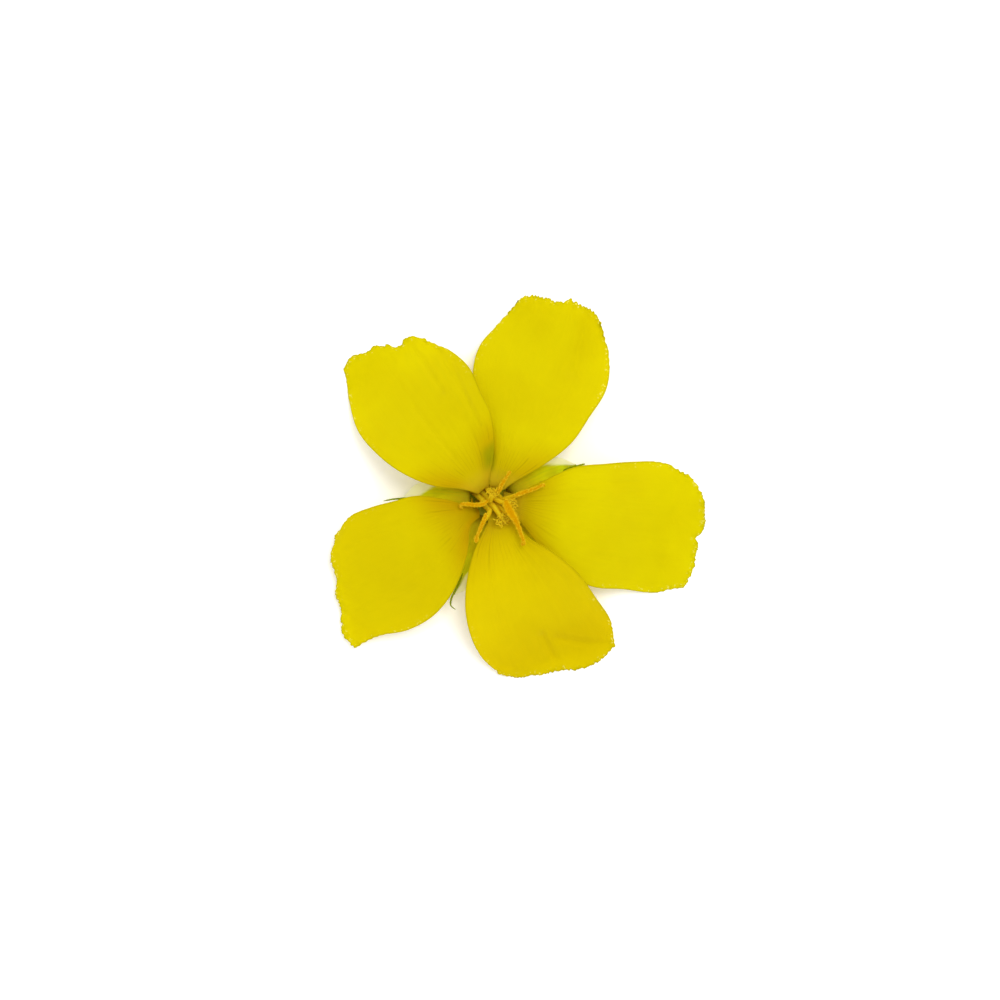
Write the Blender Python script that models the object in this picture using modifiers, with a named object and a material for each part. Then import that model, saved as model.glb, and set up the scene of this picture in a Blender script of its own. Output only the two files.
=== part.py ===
"""A yellow damiana flower of the broad-petalled kind, picked and lying face up.

The model is in metres, with +Z up, and the sizes below are in millimetres. The origin is the middle
of the flower's footprint, on the surface it lies on. Headings are degrees anticlockwise from +X, seen
from above. The three low points are the flattened tips of petals 2, 3 and 5. Petals and stamens are
numbered clockwise from the petal at the far side.
"""

import math
import random
from dataclasses import dataclass

import bmesh
import bpy
from mathutils import Vector

MM = 0.001
MERGE_DISTANCE = 0.0001
WELD_DISTANCE = 0.0000001

FLOWER_NAME = "damiana_flower"

# The throat, and the calyx tube that leans away below it; depths count down from the throat
THROAT = Vector((-3.48, -1.90, 5.8))
LEAN_HEADING = 135.0
LEAN_PER_DEPTH = 0.75
TUBE_WALL = 0.6
TUBE_FLOOR = 4.9
TUBE_RADII = (3.75, 3.45, 3.0, 2.55, 2.1, 1.7)
TUBE_SHOULDER = 5.0
STUB_RADIUS = 0.95
STUB_SHOULDER = 5.3
STUB_END = 5.5
TUBE_STEPS = 20
TUBE_RINGS = 5

# Petals: each blade rises from a narrow claw in the throat, crests, then falls to its rim
BLADE = 0.6
CLAW_START = 2.2
CLAW_HALF_WIDTH = 0.8
CLAW_DEPTH = 1.0
FUNNEL_RISE = 2.95
FUNNEL_SPREAD = 1.4
FALL_LENGTH = 25.5
FALL_SHARES = (0.0, 0.0, 0.06, 0.25, 0.5, 0.76, 0.96, 1.0)
EDGE_SHARES = (0.0, 0.8, 1.0, 1.0, 0.9, 0.6, 0.4, 0.35)
WAVE_ANGLE = 4.5
RIM_FROM = 0.99
TOOTH_DEPTH = 0.45
PETAL_ROWS = 16
PETAL_COLUMNS = 14
ROW_SPACING = 1.35
PETAL_SEED = 11

# Sepals: five pointed lobes of the tube, between the petals and below them
SEPAL_START = 3.35
SEPAL_HALF_WIDTHS = (1.6, 1.95, 2.3, 2.4, 2.1, 1.4, 0.4)
SEPAL_SET = 0.65
SEPAL_FALL = 1.9
SEPAL_FALL_POWER = 1.6
SEPAL_KEEL = 0.4
KEEL_FULL_AT = 1 / 3
SEPAL_ROWS = 8
SEPAL_COLUMNS = 4
AWN_RADIUS = 0.3
AWN_TIP_RADIUS = 0.18
AWN_SUNK = 1.8
AWN_RAISED = 0.1

# The column: ovary, styles and filaments follow the leaning axis up through the throat
OVARY_CENTRE = 3.6
OVARY_RADIUS = 1.0
OVARY_HALF_HEIGHT = 1.2
OVARY_LOBES = 3
OVARY_LOBE_DEPTH = 0.06
OVARY_SIDES = 12
OVARY_BANDS = 8
STALK_RADIUS = 0.3
STALK_POINTS = 9
SPLAY_FROM = 0.3
STYLE_ROOT = -2.15
STYLE_SPREAD = (0.5, 0.5, 0.5)
STIGMA_NECK = 0.36
STIGMA_RADIUS = 0.56
FILAMENT_ROOT = -2.6
FILAMENT_SPREAD = (1.55, 1.2, 1.15, 1.2)
ANTHER_RADIUS = 0.34
ANTHER_TAPER = (0.65, 1.0, 1.08, 1.0, 0.7)
ANTHER_POINTS = 9
ANTHER_SEAT = 0.3
ANTHER_CLEARANCE = 0.78


@dataclass(frozen=True)
class Petal:
    """One petal's outline in mm: widths each side of its midline, and its rim from left to right."""

    name: str
    heading: float
    left: tuple
    right: tuple
    rim: tuple
    tip: float
    left_lift: float
    right_lift: float
    wave: float
    wave_turn: float


@dataclass(frozen=True)
class Sepal:
    """One sepal: where it points, its blade's reach, and its awn's points beyond it."""

    heading: float
    reach: float
    awn: tuple


@dataclass(frozen=True)
class Stamen:
    """One stamen: the heading of its root, and its anther's line from the throat's centre."""

    heading: float
    anther: tuple


PETALS = (
    Petal("petal_1", 70.5,
          left=(1.9, 4.8, 7.55, 8.4, 7.1, 5.3), right=(4.2, 7.3, 8.4, 9.1, 8.35, 5.8),
          rim=(26.1, 27.2, 27.5, 27.5, 28.5, 28.3, 27.0),
          tip=1.1, left_lift=-0.7, right_lift=0.2, wave=0.35, wave_turn=0.4),
    Petal("petal_2", -8.0,
          left=(3.3, 5.8, 7.0, 7.5, 8.0, 6.5), right=(4.2, 7.7, 9.0, 9.0, 9.0, 7.5),
          rim=(25.3, 27.2, 28.1, 28.0, 27.4, 27.4, 26.5),
          tip=-0.3, left_lift=0.5, right_lift=-0.75, wave=0.3, wave_turn=2.2),
    Petal("petal_3", -69.0,
          left=(2.4, 5.1, 7.0, 8.1, 8.6, 7.7), right=(4.5, 6.8, 8.2, 8.7, 8.5, 7.2),
          rim=(23.9, 24.8, 24.7, 24.0, 23.5, 22.9, 21.6),
          tip=-0.9, left_lift=0.95, right_lift=0.3, wave=0.3, wave_turn=1.2),
    Petal("petal_4", 210.0,
          left=(4.2, 7.3, 8.9, 8.95, 8.05, 7.3), right=(3.1, 5.4, 6.55, 7.2, 7.7, 6.4),
          rim=(24.9, 25.6, 24.4, 23.7, 22.5, 21.8, 20.1),
          tip=1.0, left_lift=0.3, right_lift=-0.2, wave=0.4, wave_turn=3.0),
    Petal("petal_5", 127.0,
          left=(4.8, 7.05, 8.2, 8.45, 7.0, 5.0), right=(3.8, 6.4, 7.25, 8.0, 7.5, 5.7),
          rim=(25.4, 26.3, 25.7, 25.6, 23.6, 24.1, 22.2),
          tip=-0.5, left_lift=0.2, right_lift=0.6, wave=0.3, wave_turn=0.9),
)

SEPALS = (
    Sepal(23.0, 11.9, awn=((12.5, -0.2), (13.1, -0.3))),
    Sepal(317.0, 11.8, awn=((12.6, 0.0), (13.6, -0.2))),
    Sepal(248.0, 11.0, awn=((12.4, -0.1), (13.7, -0.1), (14.5, 0.1), (14.9, 0.9))),
    Sepal(178.0, 11.6, awn=((12.8, 0.2), (14.2, 0.5))),
    Sepal(98.0, 11.8, awn=((12.6, 0.0), (13.6, 0.2))),
)

STAMENS = (
    Stamen(98.0, anther=((0.7, 0.8, 2.1), (1.2, 1.9, 2.5), (1.7, 2.8, 2.8), (2.1, 3.6, 2.9),
                         (2.4, 4.1, 2.9))),
    Stamen(20.0, anther=((3.0, 0.5, 3.0), (3.9, 0.7, 3.2), (4.9, 1.1, 3.4), (5.9, 1.5, 3.5),
                         (6.7, 2.0, 3.5))),
    Stamen(321.0, anther=((1.7, 0.1, 3.4), (2.1, -1.5, 3.6), (3.1, -2.9, 3.7), (3.7, -4.4, 3.8),
                          (3.8, -5.6, 3.6))),
    Stamen(248.0, anther=((-0.9, -1.7, 2.4), (-1.2, -2.6, 2.6), (-1.4, -3.5, 2.8), (-1.7, -4.5, 2.9),
                          (-2.0, -5.2, 2.8))),
    Stamen(178.0, anther=((-0.5, -0.1, 2.3), (-1.1, -0.5, 2.4), (-2.2, -0.5, 2.4), (-3.4, -0.4, 2.4),
                          (-4.1, -0.6, 2.2))),
)

# Each style's heading round the column, and its tip from the throat's centre
STYLES = (
    (35.0, (3.0, -0.8, 2.9)),
    (140.0, (0.1, 1.5, 3.4)),
    (275.0, (1.8, -2.9, 2.7)),
)

PETAL_YELLOW = ((0.76, 0.64, 0.0), 0.5)
CALYX_GREEN = ((0.42, 0.52, 0.03), 0.6)
FILAMENT_YELLOW = ((0.62, 0.50, 0.02), 0.5)
ANTHER_ORANGE = ((0.68, 0.32, 0.01), 0.7)
STYLE_YELLOW = ((0.60, 0.42, 0.02), 0.5)
OVARY_GREEN = ((0.30, 0.42, 0.05), 0.6)


def clear_scene():
    """Remove whatever the file holds."""
    for thing in list(bpy.data.objects):
        bpy.data.objects.remove(thing, do_unlink=True)


def new_collection(name):
    """Add an empty collection to the scene."""
    made = bpy.data.collections.new(name)
    bpy.context.scene.collection.children.link(made)
    return made


def new_material(name, finish):
    """Make a Principled material from a colour and a roughness."""
    colour, roughness = finish
    made = bpy.data.materials.new(name)
    made.use_nodes = True
    shader = made.node_tree.nodes["Principled BSDF"]
    shader.inputs["Base Color"].default_value = (*colour, 1.0)
    shader.inputs["Roughness"].default_value = roughness
    shader.inputs["Metallic"].default_value = 0.0
    return made


def place_mesh(name, mesh, material, collection):
    """Put a mesh in the scene as a named object with one material."""
    made = bpy.data.objects.new(name, mesh)
    mesh.materials.clear()
    mesh.materials.append(material)
    mesh.shade_smooth()
    collection.objects.link(made)
    return made


def settled_mesh(thing):
    """The mesh that an object shows with its modifiers or bevel, its caps joined on."""
    graph = bpy.context.evaluated_depsgraph_get()
    mesh = bpy.data.meshes.new_from_object(thing.evaluated_get(graph))
    work = bmesh.new()
    work.from_mesh(mesh)
    bmesh.ops.remove_doubles(work, verts=work.verts, dist=WELD_DISTANCE)
    work.to_mesh(mesh)
    work.free()
    return mesh


def smooth_through(values, share):
    """A smooth curve through evenly spaced values, read at a share of its length."""
    last = len(values) - 1
    place = min(max(share, 0.0), 1.0) * last
    first = min(int(place), last - 1)
    t = place - first
    here = values[first]
    there = values[first + 1]
    slope_here = (there - values[max(first - 1, 0)]) / 2
    slope_there = (values[min(first + 2, last)] - here) / 2
    return (here * (2 * t**3 - 3 * t**2 + 1) + slope_here * (t**3 - 2 * t**2 + t)
            + there * (3 * t**2 - 2 * t**3) + slope_there * (t**3 - t**2))


def heading_vector(heading):
    """A level unit vector along a heading."""
    angle = math.radians(heading)
    return Vector((math.cos(angle), math.sin(angle), 0.0))


def leaned(point):
    """Carry a point, whose height is counted from the throat, over with the tube's lean."""
    return point - heading_vector(LEAN_HEADING) * LEAN_PER_DEPTH * point.z


def from_throat(point):
    """Turn a point in mm from the throat's centre into metres in the flower's frame."""
    return (THROAT + point) * MM


def petal_point(petal, along, across):
    """Underside of a petal: along 0 at its claw to 1 at its rim, across 1 on its left to -1."""
    side = petal.left if across > 0 else petal.right
    half_width = smooth_through((CLAW_HALF_WIDTH,) + side, along)
    reach = smooth_through(petal.rim, (1 - across) / 2)
    distance = CLAW_START + along * (reach - CLAW_START)
    rise = FUNNEL_RISE * (1 - math.exp((CLAW_START - distance) / FUNNEL_SPREAD)) - CLAW_DEPTH
    crest = THROAT.z + FUNNEL_RISE - CLAW_DEPTH
    fall = (crest - petal.tip) * smooth_through(FALL_SHARES, (distance - CLAW_START) / FALL_LENGTH)
    lift = petal.left_lift if across > 0 else petal.right_lift
    edge = lift * across**2 * smooth_through(EDGE_SHARES, along)
    wave = petal.wave * math.sin(WAVE_ANGLE * across + petal.wave_turn) * along**2 * across**2
    aside = across * half_width
    wrap = aside**2 / (2 * distance) * math.exp((CLAW_START - distance) / FUNNEL_SPREAD)
    claw = leaned(Vector((0, 0, min(rise, 0))))
    claw.z = rise - fall + edge + wave
    made = from_throat(heading_vector(petal.heading) * (distance - wrap)
                       + heading_vector(petal.heading + 90) * aside + claw)
    made.z = max(made.z, 0.0)
    return made


def blade_grid(rows, columns):
    """A flat grid of quads: X is -1 to 1 along the blade, and Y is -1 to 1 across it."""
    work = bmesh.new()
    bmesh.ops.create_grid(work, x_segments=rows, y_segments=columns, size=1.0)
    return work


def finish_blade(name, work, material, collection):
    """Split a shaped grid into triangles, and thicken it upwards to a closed blade."""
    bmesh.ops.triangulate(work, faces=work.faces, quad_method="BEAUTY")
    mesh = bpy.data.meshes.new(name)
    work.to_mesh(mesh)
    work.free()
    blade = place_mesh(name, mesh, material, collection)
    shell = blade.modifiers.new("Thickness", "SOLIDIFY")
    shell.thickness = BLADE * MM
    shell.offset = 1.0
    shell.use_even_offset = True
    return blade


def make_petal(petal, dice, material, collection):
    """One petal, with a ragged rim."""
    work = blade_grid(PETAL_ROWS, PETAL_COLUMNS)
    for corner in work.verts:
        along = ((corner.co.x + 1) / 2)**ROW_SPACING
        across = corner.co.y
        if along > RIM_FROM:
            along -= dice.random() * TOOTH_DEPTH / petal.rim[0]
        corner.co = petal_point(petal, along, across)
    return finish_blade(petal.name, work, material, collection)


def tube_profile():
    """The calyx cup's section in mm: up its inner wall, over its rim and down outside."""
    heights = [-TUBE_SHOULDER * ring / TUBE_RINGS for ring in range(TUBE_RINGS + 1)]
    outer = [(smooth_through(TUBE_RADII, -height / TUBE_SHOULDER), height) for height in heights]
    inner = [(radius - TUBE_WALL, height) for radius, height in outer[:-1]]
    floor_radius = smooth_through(TUBE_RADII, TUBE_FLOOR / TUBE_SHOULDER) - TUBE_WALL
    floor = [(0.0, -TUBE_FLOOR), (floor_radius, -TUBE_FLOOR)]
    stub = [(STUB_RADIUS, -STUB_SHOULDER), (STUB_RADIUS, -STUB_END), (0.0, -STUB_END)]
    return floor + inner[::-1] + outer + stub


def make_tube(material, collection):
    """The calyx cup with its cut stub: a turned profile, leaned over below the throat."""
    mesh = bpy.data.meshes.new("tube profile")
    work = bmesh.new()
    corners = [work.verts.new((radius, 0.0, height)) for radius, height in tube_profile()]
    for one, other in zip(corners, corners[1:]):
        work.edges.new((one, other))
    work.to_mesh(mesh)
    work.free()
    profile = place_mesh("tube profile", mesh, material, collection)
    turn = profile.modifiers.new("Turn", "SCREW")
    turn.steps = TUBE_STEPS
    turn.render_steps = TUBE_STEPS
    turn.use_merge_vertices = True
    turn.merge_threshold = MERGE_DISTANCE
    turned = settled_mesh(profile)
    bpy.data.objects.remove(profile, do_unlink=True)
    for corner in turned.vertices:
        corner.co = from_throat(leaned(corner.co.copy()))
    return place_mesh("calyx", turned, material, collection)


def sepal_height(along):
    """Underside of a sepal at its midline, from the throat's rim."""
    return -SEPAL_SET - SEPAL_FALL * max(along, 0.0)**SEPAL_FALL_POWER


def make_sepal(sepal, material, collection):
    """One sepal's blade, keeled along its midline, sunk in the tube's rim at its foot."""
    outward = heading_vector(sepal.heading)
    leftward = heading_vector(sepal.heading + 90)
    work = blade_grid(SEPAL_ROWS, SEPAL_COLUMNS)
    for corner in work.verts:
        along = (corner.co.x + 1) / 2
        across = corner.co.y
        distance = SEPAL_START + along * (sepal.reach - SEPAL_START)
        half_width = smooth_through(SEPAL_HALF_WIDTHS, along)
        keel = SEPAL_KEEL * abs(across) * min(along / KEEL_FULL_AT, 1)
        place = outward * distance + leftward * across * half_width
        place.z = sepal_height(along) + keel
        corner.co = from_throat(place)
    return finish_blade("sepal", work, material, collection)


def tube_along(name, points, radii, material, collection):
    """A round rod through points in metres, with a radius in mm at each, as a closed mesh."""
    data = bpy.data.curves.new(name, "CURVE")
    data.dimensions = "3D"
    data.bevel_depth = MM
    data.bevel_resolution = 2
    data.use_fill_caps = True
    line = data.splines.new("POLY")
    line.points.add(len(points) - 1)
    for knot, point, radius in zip(line.points, points, radii):
        knot.co = (*point, 1.0)
        knot.radius = radius
    curve = bpy.data.objects.new(name, data)
    collection.objects.link(curve)
    mesh = settled_mesh(curve)
    bpy.data.objects.remove(curve, do_unlink=True)
    bpy.data.curves.remove(data)
    return place_mesh(name, mesh, material, collection)


def make_awn(sepal, material, collection):
    """The bristle that a sepal ends in, its root a short rib under the blade's tip."""
    outward = heading_vector(sepal.heading)
    leftward = heading_vector(sepal.heading + 90)
    run = sepal.reach - SEPAL_START
    points = []
    for distance, aside in ((sepal.reach - AWN_SUNK, 0.0), (sepal.reach - AWN_SUNK / 2, 0.0)) + sepal.awn:
        place = outward * distance + leftward * aside
        place.z = sepal_height((distance - SEPAL_START) / run) + AWN_RAISED
        points.append(from_throat(place))
    radii = [AWN_RADIUS] * (len(points) - 1) + [AWN_TIP_RADIUS]
    return tube_along("awn", points, radii, material, collection)


def make_calyx(material, collection):
    """Tube, sepals and awns, joined into one body."""
    lobes = new_collection("calyx lobes")
    for sepal in SEPALS:
        make_sepal(sepal, material, lobes)
        make_awn(sepal, material, lobes)
    tube = make_tube(material, collection)
    join = tube.modifiers.new("Join", "BOOLEAN")
    join.operation = "UNION"
    join.operand_type = "COLLECTION"
    join.collection = lobes
    join.solver = "MANIFOLD"
    joined = settled_mesh(tube)
    tube.modifiers.clear()
    tube.data = joined
    joined.materials.clear()
    joined.materials.append(material)
    for lobe in list(lobes.objects):
        bpy.data.objects.remove(lobe, do_unlink=True)
    bpy.data.collections.remove(lobes)
    return tube


def column_point(heading, radius, height):
    """A point round the column's leaning axis."""
    return leaned(heading_vector(heading) * radius + Vector((0, 0, height)))


def make_ovary(material, collection):
    """The three-lobed ovary on the tube's floor."""
    work = bmesh.new()
    bmesh.ops.create_uvsphere(work, u_segments=OVARY_SIDES, v_segments=OVARY_BANDS, radius=1.0)
    for corner in work.verts:
        turn = math.atan2(corner.co.y, corner.co.x)
        radius = OVARY_RADIUS * (1 + OVARY_LOBE_DEPTH * math.cos(OVARY_LOBES * turn))
        place = Vector((corner.co.x * radius, corner.co.y * radius,
                        corner.co.z * OVARY_HALF_HEIGHT - OVARY_CENTRE))
        corner.co = from_throat(leaned(place))
    mesh = bpy.data.meshes.new("ovary")
    work.to_mesh(mesh)
    work.free()
    return place_mesh("ovary", mesh, material, collection)


def splayed_line(heading, spread, root, tip):
    """Points in metres up the leaning column from a root's height, bending away to a tip in mm."""
    over = column_point(heading, spread[-1], tip.z)
    made = []
    for step in range(STALK_POINTS):
        share = step / (STALK_POINTS - 1)
        height = root + share * (tip.z - root)
        splay = max(height - SPLAY_FROM, 0) / (tip.z - SPLAY_FROM)
        place = column_point(heading, smooth_through(spread, share), height)
        made.append(from_throat(place + (tip - over) * splay**2))
    return made


def make_style(number, heading, tip, material, collection):
    """One style from the ovary's top to its stigma, where it flares."""
    line = splayed_line(heading, STYLE_SPREAD, STYLE_ROOT, Vector(tip))
    radii = [STALK_RADIUS] * (STALK_POINTS - 2) + [STIGMA_NECK, STIGMA_RADIUS]
    return tube_along(f"style_{number}", line, radii, material, collection)


def anther_point(stamen, share):
    """A point in mm from the throat's centre, at a share of an anther's length."""
    return Vector([smooth_through([point[axis] for point in stamen.anther], share) for axis in range(3)])


def make_stamen(number, stamen, filament_material, anther_material, collection):
    """One stamen: a filament up through the throat, and the anther that it carries."""
    shares = [step / (ANTHER_POINTS - 1) for step in range(ANTHER_POINTS)]
    anther = [from_throat(anther_point(stamen, share)) for share in shares]
    radii = [ANTHER_RADIUS * smooth_through(ANTHER_TAPER, share) for share in shares]
    tube_along(f"anther_{number}", anther, radii, anther_material, collection)
    top = anther_point(stamen, ANTHER_SEAT) - Vector((0, 0, ANTHER_CLEARANCE))
    line = splayed_line(stamen.heading, FILAMENT_SPREAD, FILAMENT_ROOT, top)
    tube_along(f"filament_{number}", line, [STALK_RADIUS] * STALK_POINTS, filament_material, collection)


def main():
    """Build the flower."""
    clear_scene()
    flower = new_collection(FLOWER_NAME)
    petal_yellow = new_material("petal yellow", PETAL_YELLOW)
    calyx_green = new_material("calyx green", CALYX_GREEN)
    filament_yellow = new_material("filament yellow", FILAMENT_YELLOW)
    anther_orange = new_material("anther orange", ANTHER_ORANGE)
    style_yellow = new_material("style yellow", STYLE_YELLOW)
    ovary_green = new_material("ovary green", OVARY_GREEN)

    dice = random.Random(PETAL_SEED)
    for petal in PETALS:
        make_petal(petal, dice, petal_yellow, flower)
    make_calyx(calyx_green, flower)
    make_ovary(ovary_green, flower)
    for number, (heading, tip) in enumerate(STYLES, start=1):
        make_style(number, heading, tip, style_yellow, flower)
    for number, stamen in enumerate(STAMENS, start=1):
        make_stamen(number, stamen, filament_yellow, anther_orange, flower)


main()
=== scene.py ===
"""A yellow damiana flower of the broad-petalled kind, picked and lying face up.

Sizes are in millimetres, and turned into metres as each piece is placed. Headings are degrees
anticlockwise from +X, seen from above. A blade is measured along from its foot, 0, to its tip, 1, and
across from its right edge, -1, to its left, 1, as seen from the throat looking outwards.
"""

import logging
import math
import random
from dataclasses import dataclass
from enum import Enum
from typing import Callable, Iterable, Union

import bmesh
import bpy
from mathutils import Matrix, Vector, noise


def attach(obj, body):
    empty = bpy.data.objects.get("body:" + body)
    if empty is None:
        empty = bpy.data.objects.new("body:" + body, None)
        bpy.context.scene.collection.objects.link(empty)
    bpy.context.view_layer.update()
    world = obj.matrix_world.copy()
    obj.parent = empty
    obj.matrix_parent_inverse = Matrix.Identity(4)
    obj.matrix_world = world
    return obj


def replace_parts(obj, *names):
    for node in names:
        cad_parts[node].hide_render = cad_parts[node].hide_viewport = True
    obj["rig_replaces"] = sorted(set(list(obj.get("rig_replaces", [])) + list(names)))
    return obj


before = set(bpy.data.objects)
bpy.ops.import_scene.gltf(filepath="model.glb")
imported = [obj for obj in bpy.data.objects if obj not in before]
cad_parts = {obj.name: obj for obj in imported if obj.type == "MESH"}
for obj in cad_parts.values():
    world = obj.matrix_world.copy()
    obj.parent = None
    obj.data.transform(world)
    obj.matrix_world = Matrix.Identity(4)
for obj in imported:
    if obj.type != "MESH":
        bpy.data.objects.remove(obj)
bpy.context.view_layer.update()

LOG = logging.getLogger("damiana flower")
MM = 0.001
BODY = "root"
BLADE_MAP = "blade"
GROOVE_MARK = "groove"
INSET_MARK = "inset"
UV_REACH = 30.0
UP = Vector((0.0, 0.0, 1.0))
SIDEWAYS = Vector((1.0, 0.0, 0.0))
GOLDEN_GLOSS = (1.0, 0.85, 0.1, 1.0)
GOLDEN_TURN = math.pi * (3 - math.sqrt(5))
MIDLINE = 0.5
HAIR_TAPER = (1.0, 0.75, 0.5, 0.12)
STALK_STATIONS = 36
STALK_SIDES = 12

Socket = bpy.types.NodeSocket
Feed = Union[bpy.types.NodeSocket, float, Vector, tuple[float, ...]]
Floats = tuple[float, ...]
Span = tuple[float, float]
Shade = tuple[int, int, int]


class Slot(Enum):
    """The material slots of the flower's record."""

    PETAL = "petal"
    CALYX = "calyx"
    FILAMENT = "filament"
    ANTHER = "anther"
    STYLE = "style"
    OVARY = "ovary"


class Edge(Enum):
    """The two long edges of a blade, by the sign of across."""

    LEFT = 1
    RIGHT = -1


def smooth_through(values: Floats, share: float) -> float:
    """Read a smooth curve through evenly spaced values.

    Args:
        values: The values, the first at 0 and the last at 1.
        share: Where to read, held between 0 and 1.

    Returns:
        The curve's value there.
    """
    last = len(values) - 1
    place = min(max(share, 0.0), 1.0) * last
    first = min(int(place), last - 1)
    t = place - first
    here = values[first]
    there = values[first + 1]
    slope_here = (there - values[max(first - 1, 0)]) / 2
    slope_there = (values[min(first + 2, last)] - here) / 2
    return (here * (2 * t**3 - 3 * t**2 + 1) + slope_here * (t**3 - 2 * t**2 + t)
            + there * (3 * t**2 - 2 * t**3) + slope_there * (t**3 - t**2))


def smooth_step(low: float, high: float, value: float) -> float:
    """0 at low, 1 at high and an even S between them, whichever of the two is larger."""
    share = min(max((value - low) / (high - low), 0.0), 1.0)
    return share * share * (3 - 2 * share)


def heading_vector(heading: float) -> Vector:
    """A level unit vector along a heading."""
    angle = math.radians(heading)
    return Vector((math.cos(angle), math.sin(angle), 0.0))


@dataclass(frozen=True)
class Throat:
    """Where petals and column meet, and how the calyx tube leans away below."""

    x: float = -3.48
    y: float = -1.90
    z: float = 5.8
    lean_heading: float = 135.0
    lean_per_depth: float = 0.75

    def leaned(self, point: Vector) -> Vector:
        """Carry a point, its height counted from the throat, over with the tube's lean."""
        return point - heading_vector(self.lean_heading) * self.lean_per_depth * point.z

    def column(self, heading: float, radius: float, height: float) -> Vector:
        """A point round the leaning axis of the tube."""
        return self.leaned(heading_vector(heading) * radius + UP * height)

    def world(self, point: Vector) -> Vector:
        """Turn a point in mm from the throat into metres in the flower's frame."""
        return (Vector((self.x, self.y, self.z)) + point) * MM


THROAT = Throat()


class NodeWork:
    """A material's node tree, laid with one short call for each node."""

    def __init__(self, name: str, roughness: float, specular: float) -> None:
        """Start a material.

        Args:
            name: The material's name.
            roughness: The shader's roughness.
            specular: The shader's specular level.
        """
        self.material = bpy.data.materials.new(name)
        self.material.use_nodes = True
        self.nodes = self.material.node_tree.nodes
        self.links = self.material.node_tree.links
        self.shader = self.nodes["Principled BSDF"]
        self.shader.inputs["Roughness"].default_value = roughness
        self.shader.inputs["Specular IOR Level"].default_value = specular
        self.shader.inputs["Specular Tint"].default_value = GOLDEN_GLOSS

    def feed(self, socket: Socket, value: Feed) -> None:
        """Link a socket to another socket, or set it to a plain value.

        Args:
            socket: The socket to feed.
            value: What goes into it.
        """
        if isinstance(value, Socket):
            self.links.new(value, socket)
        else:
            socket.default_value = value

    def math(self, operation: str, first: Feed, second: Feed = 0.0) -> Socket:
        """Work out one step of arithmetic.

        Args:
            operation: The Math node's operation.
            first: Its first number.
            second: Its second number.

        Returns:
            The result.
        """
        node = self.nodes.new("ShaderNodeMath")
        node.operation = operation
        self.feed(node.inputs[0], first)
        self.feed(node.inputs[1], second)
        return node.outputs[0]

    def times(self, first: Feed, second: Feed) -> Socket:
        """The product of two numbers."""
        return self.math("MULTIPLY", first, second)

    def plus(self, first: Feed, second: Feed) -> Socket:
        """The sum of two numbers."""
        return self.math("ADD", first, second)

    def minus(self, first: Feed, second: Feed) -> Socket:
        """The first number less the second."""
        return self.math("SUBTRACT", first, second)

    def gap(self, first: Feed, second: Feed) -> Socket:
        """How far apart two numbers are."""
        return self.math("ABSOLUTE", self.minus(first, second))

    def fade(self, value: Feed, low: float, high: float, top: float = 1.0) -> Socket:
        """Fade an effect in, with an even S between its ends.

        Args:
            value: What the effect follows.
            low: The value at which it is nil.
            high: The value at which it is full, above low or below it.
            top: How strong it is when full.

        Returns:
            The effect's strength.
        """
        node = self.nodes.new("ShaderNodeMapRange")
        node.interpolation_type = "SMOOTHSTEP"
        for socket, setting in zip(node.inputs, (value, low, high, 0.0, top)):
            self.feed(socket, setting)
        return node.outputs[0]

    def noise(self, vector: Feed, scale: float, detail: float = 2.0) -> Socket:
        """Read smooth noise.

        Args:
            vector: Where it is read.
            scale: How fine it is.
            detail: How many finer layers it has.

        Returns:
            The noise, from 0 to 1.
        """
        node = self.nodes.new("ShaderNodeTexNoise")
        self.feed(node.inputs["Vector"], vector)
        self.feed(node.inputs["Scale"], scale)
        self.feed(node.inputs["Detail"], detail)
        return node.outputs[0]

    def chance(self, value: Feed) -> Socket:
        """Draw a number for each whole value.

        Args:
            value: The whole value.

        Returns:
            A number from 0 to 1.
        """
        node = self.nodes.new("ShaderNodeTexWhiteNoise")
        node.noise_dimensions = "1D"
        self.feed(node.inputs["W"], value)
        return node.outputs["Value"]

    def mix(self, share: Feed, first: Feed, second: Feed) -> Socket:
        """Mix two colours.

        Args:
            share: The second colour's share.
            first: The first colour.
            second: The second colour.

        Returns:
            The colour between them.
        """
        node = self.nodes.new("ShaderNodeMix")
        node.data_type = "RGBA"
        self.feed(node.inputs[0], share)
        self.feed(node.inputs[6], first)
        self.feed(node.inputs[7], second)
        return node.outputs[2]

    def ramp(self, share: Feed, stops: tuple[tuple[float, Floats], ...]) -> Socket:
        """Read a colour off a ramp.

        Args:
            share: Where it is read, from 0 to 1.
            stops: The ramp's places, each with its colour.

        Returns:
            The colour there.
        """
        node = self.nodes.new("ShaderNodeValToRGB")
        self.feed(node.inputs[0], share)
        elements = node.color_ramp.elements
        while len(elements) < len(stops):
            elements.new(0.5)
        for element, (place, colour) in zip(elements, stops):
            element.position = place
            element.color = colour
        return node.outputs[0]

    def vector(self, x: Feed, y: Feed, z: Feed = 0.0) -> Socket:
        """Join three numbers.

        Args:
            x: The first number.
            y: The second number.
            z: The third number.

        Returns:
            The vector.
        """
        node = self.nodes.new("ShaderNodeCombineXYZ")
        for socket, value in zip(node.inputs, (x, y, z)):
            self.feed(socket, value)
        return node.outputs[0]

    def blade_place(self) -> tuple[Socket, Socket]:
        """Find where on its blade a point lies.

        Returns:
            The distance outwards in shares of UV_REACH, and the place across from 0 to 1.
        """
        reader = self.nodes.new("ShaderNodeUVMap")
        reader.uv_map = BLADE_MAP
        parts = self.nodes.new("ShaderNodeSeparateXYZ")
        self.feed(parts.inputs[0], reader.outputs[0])
        return parts.outputs[0], parts.outputs[1]

    def place(self) -> Socket:
        """The point in the flower's frame, in metres."""
        return self.nodes.new("ShaderNodeTexCoord").outputs["Object"]

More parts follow.
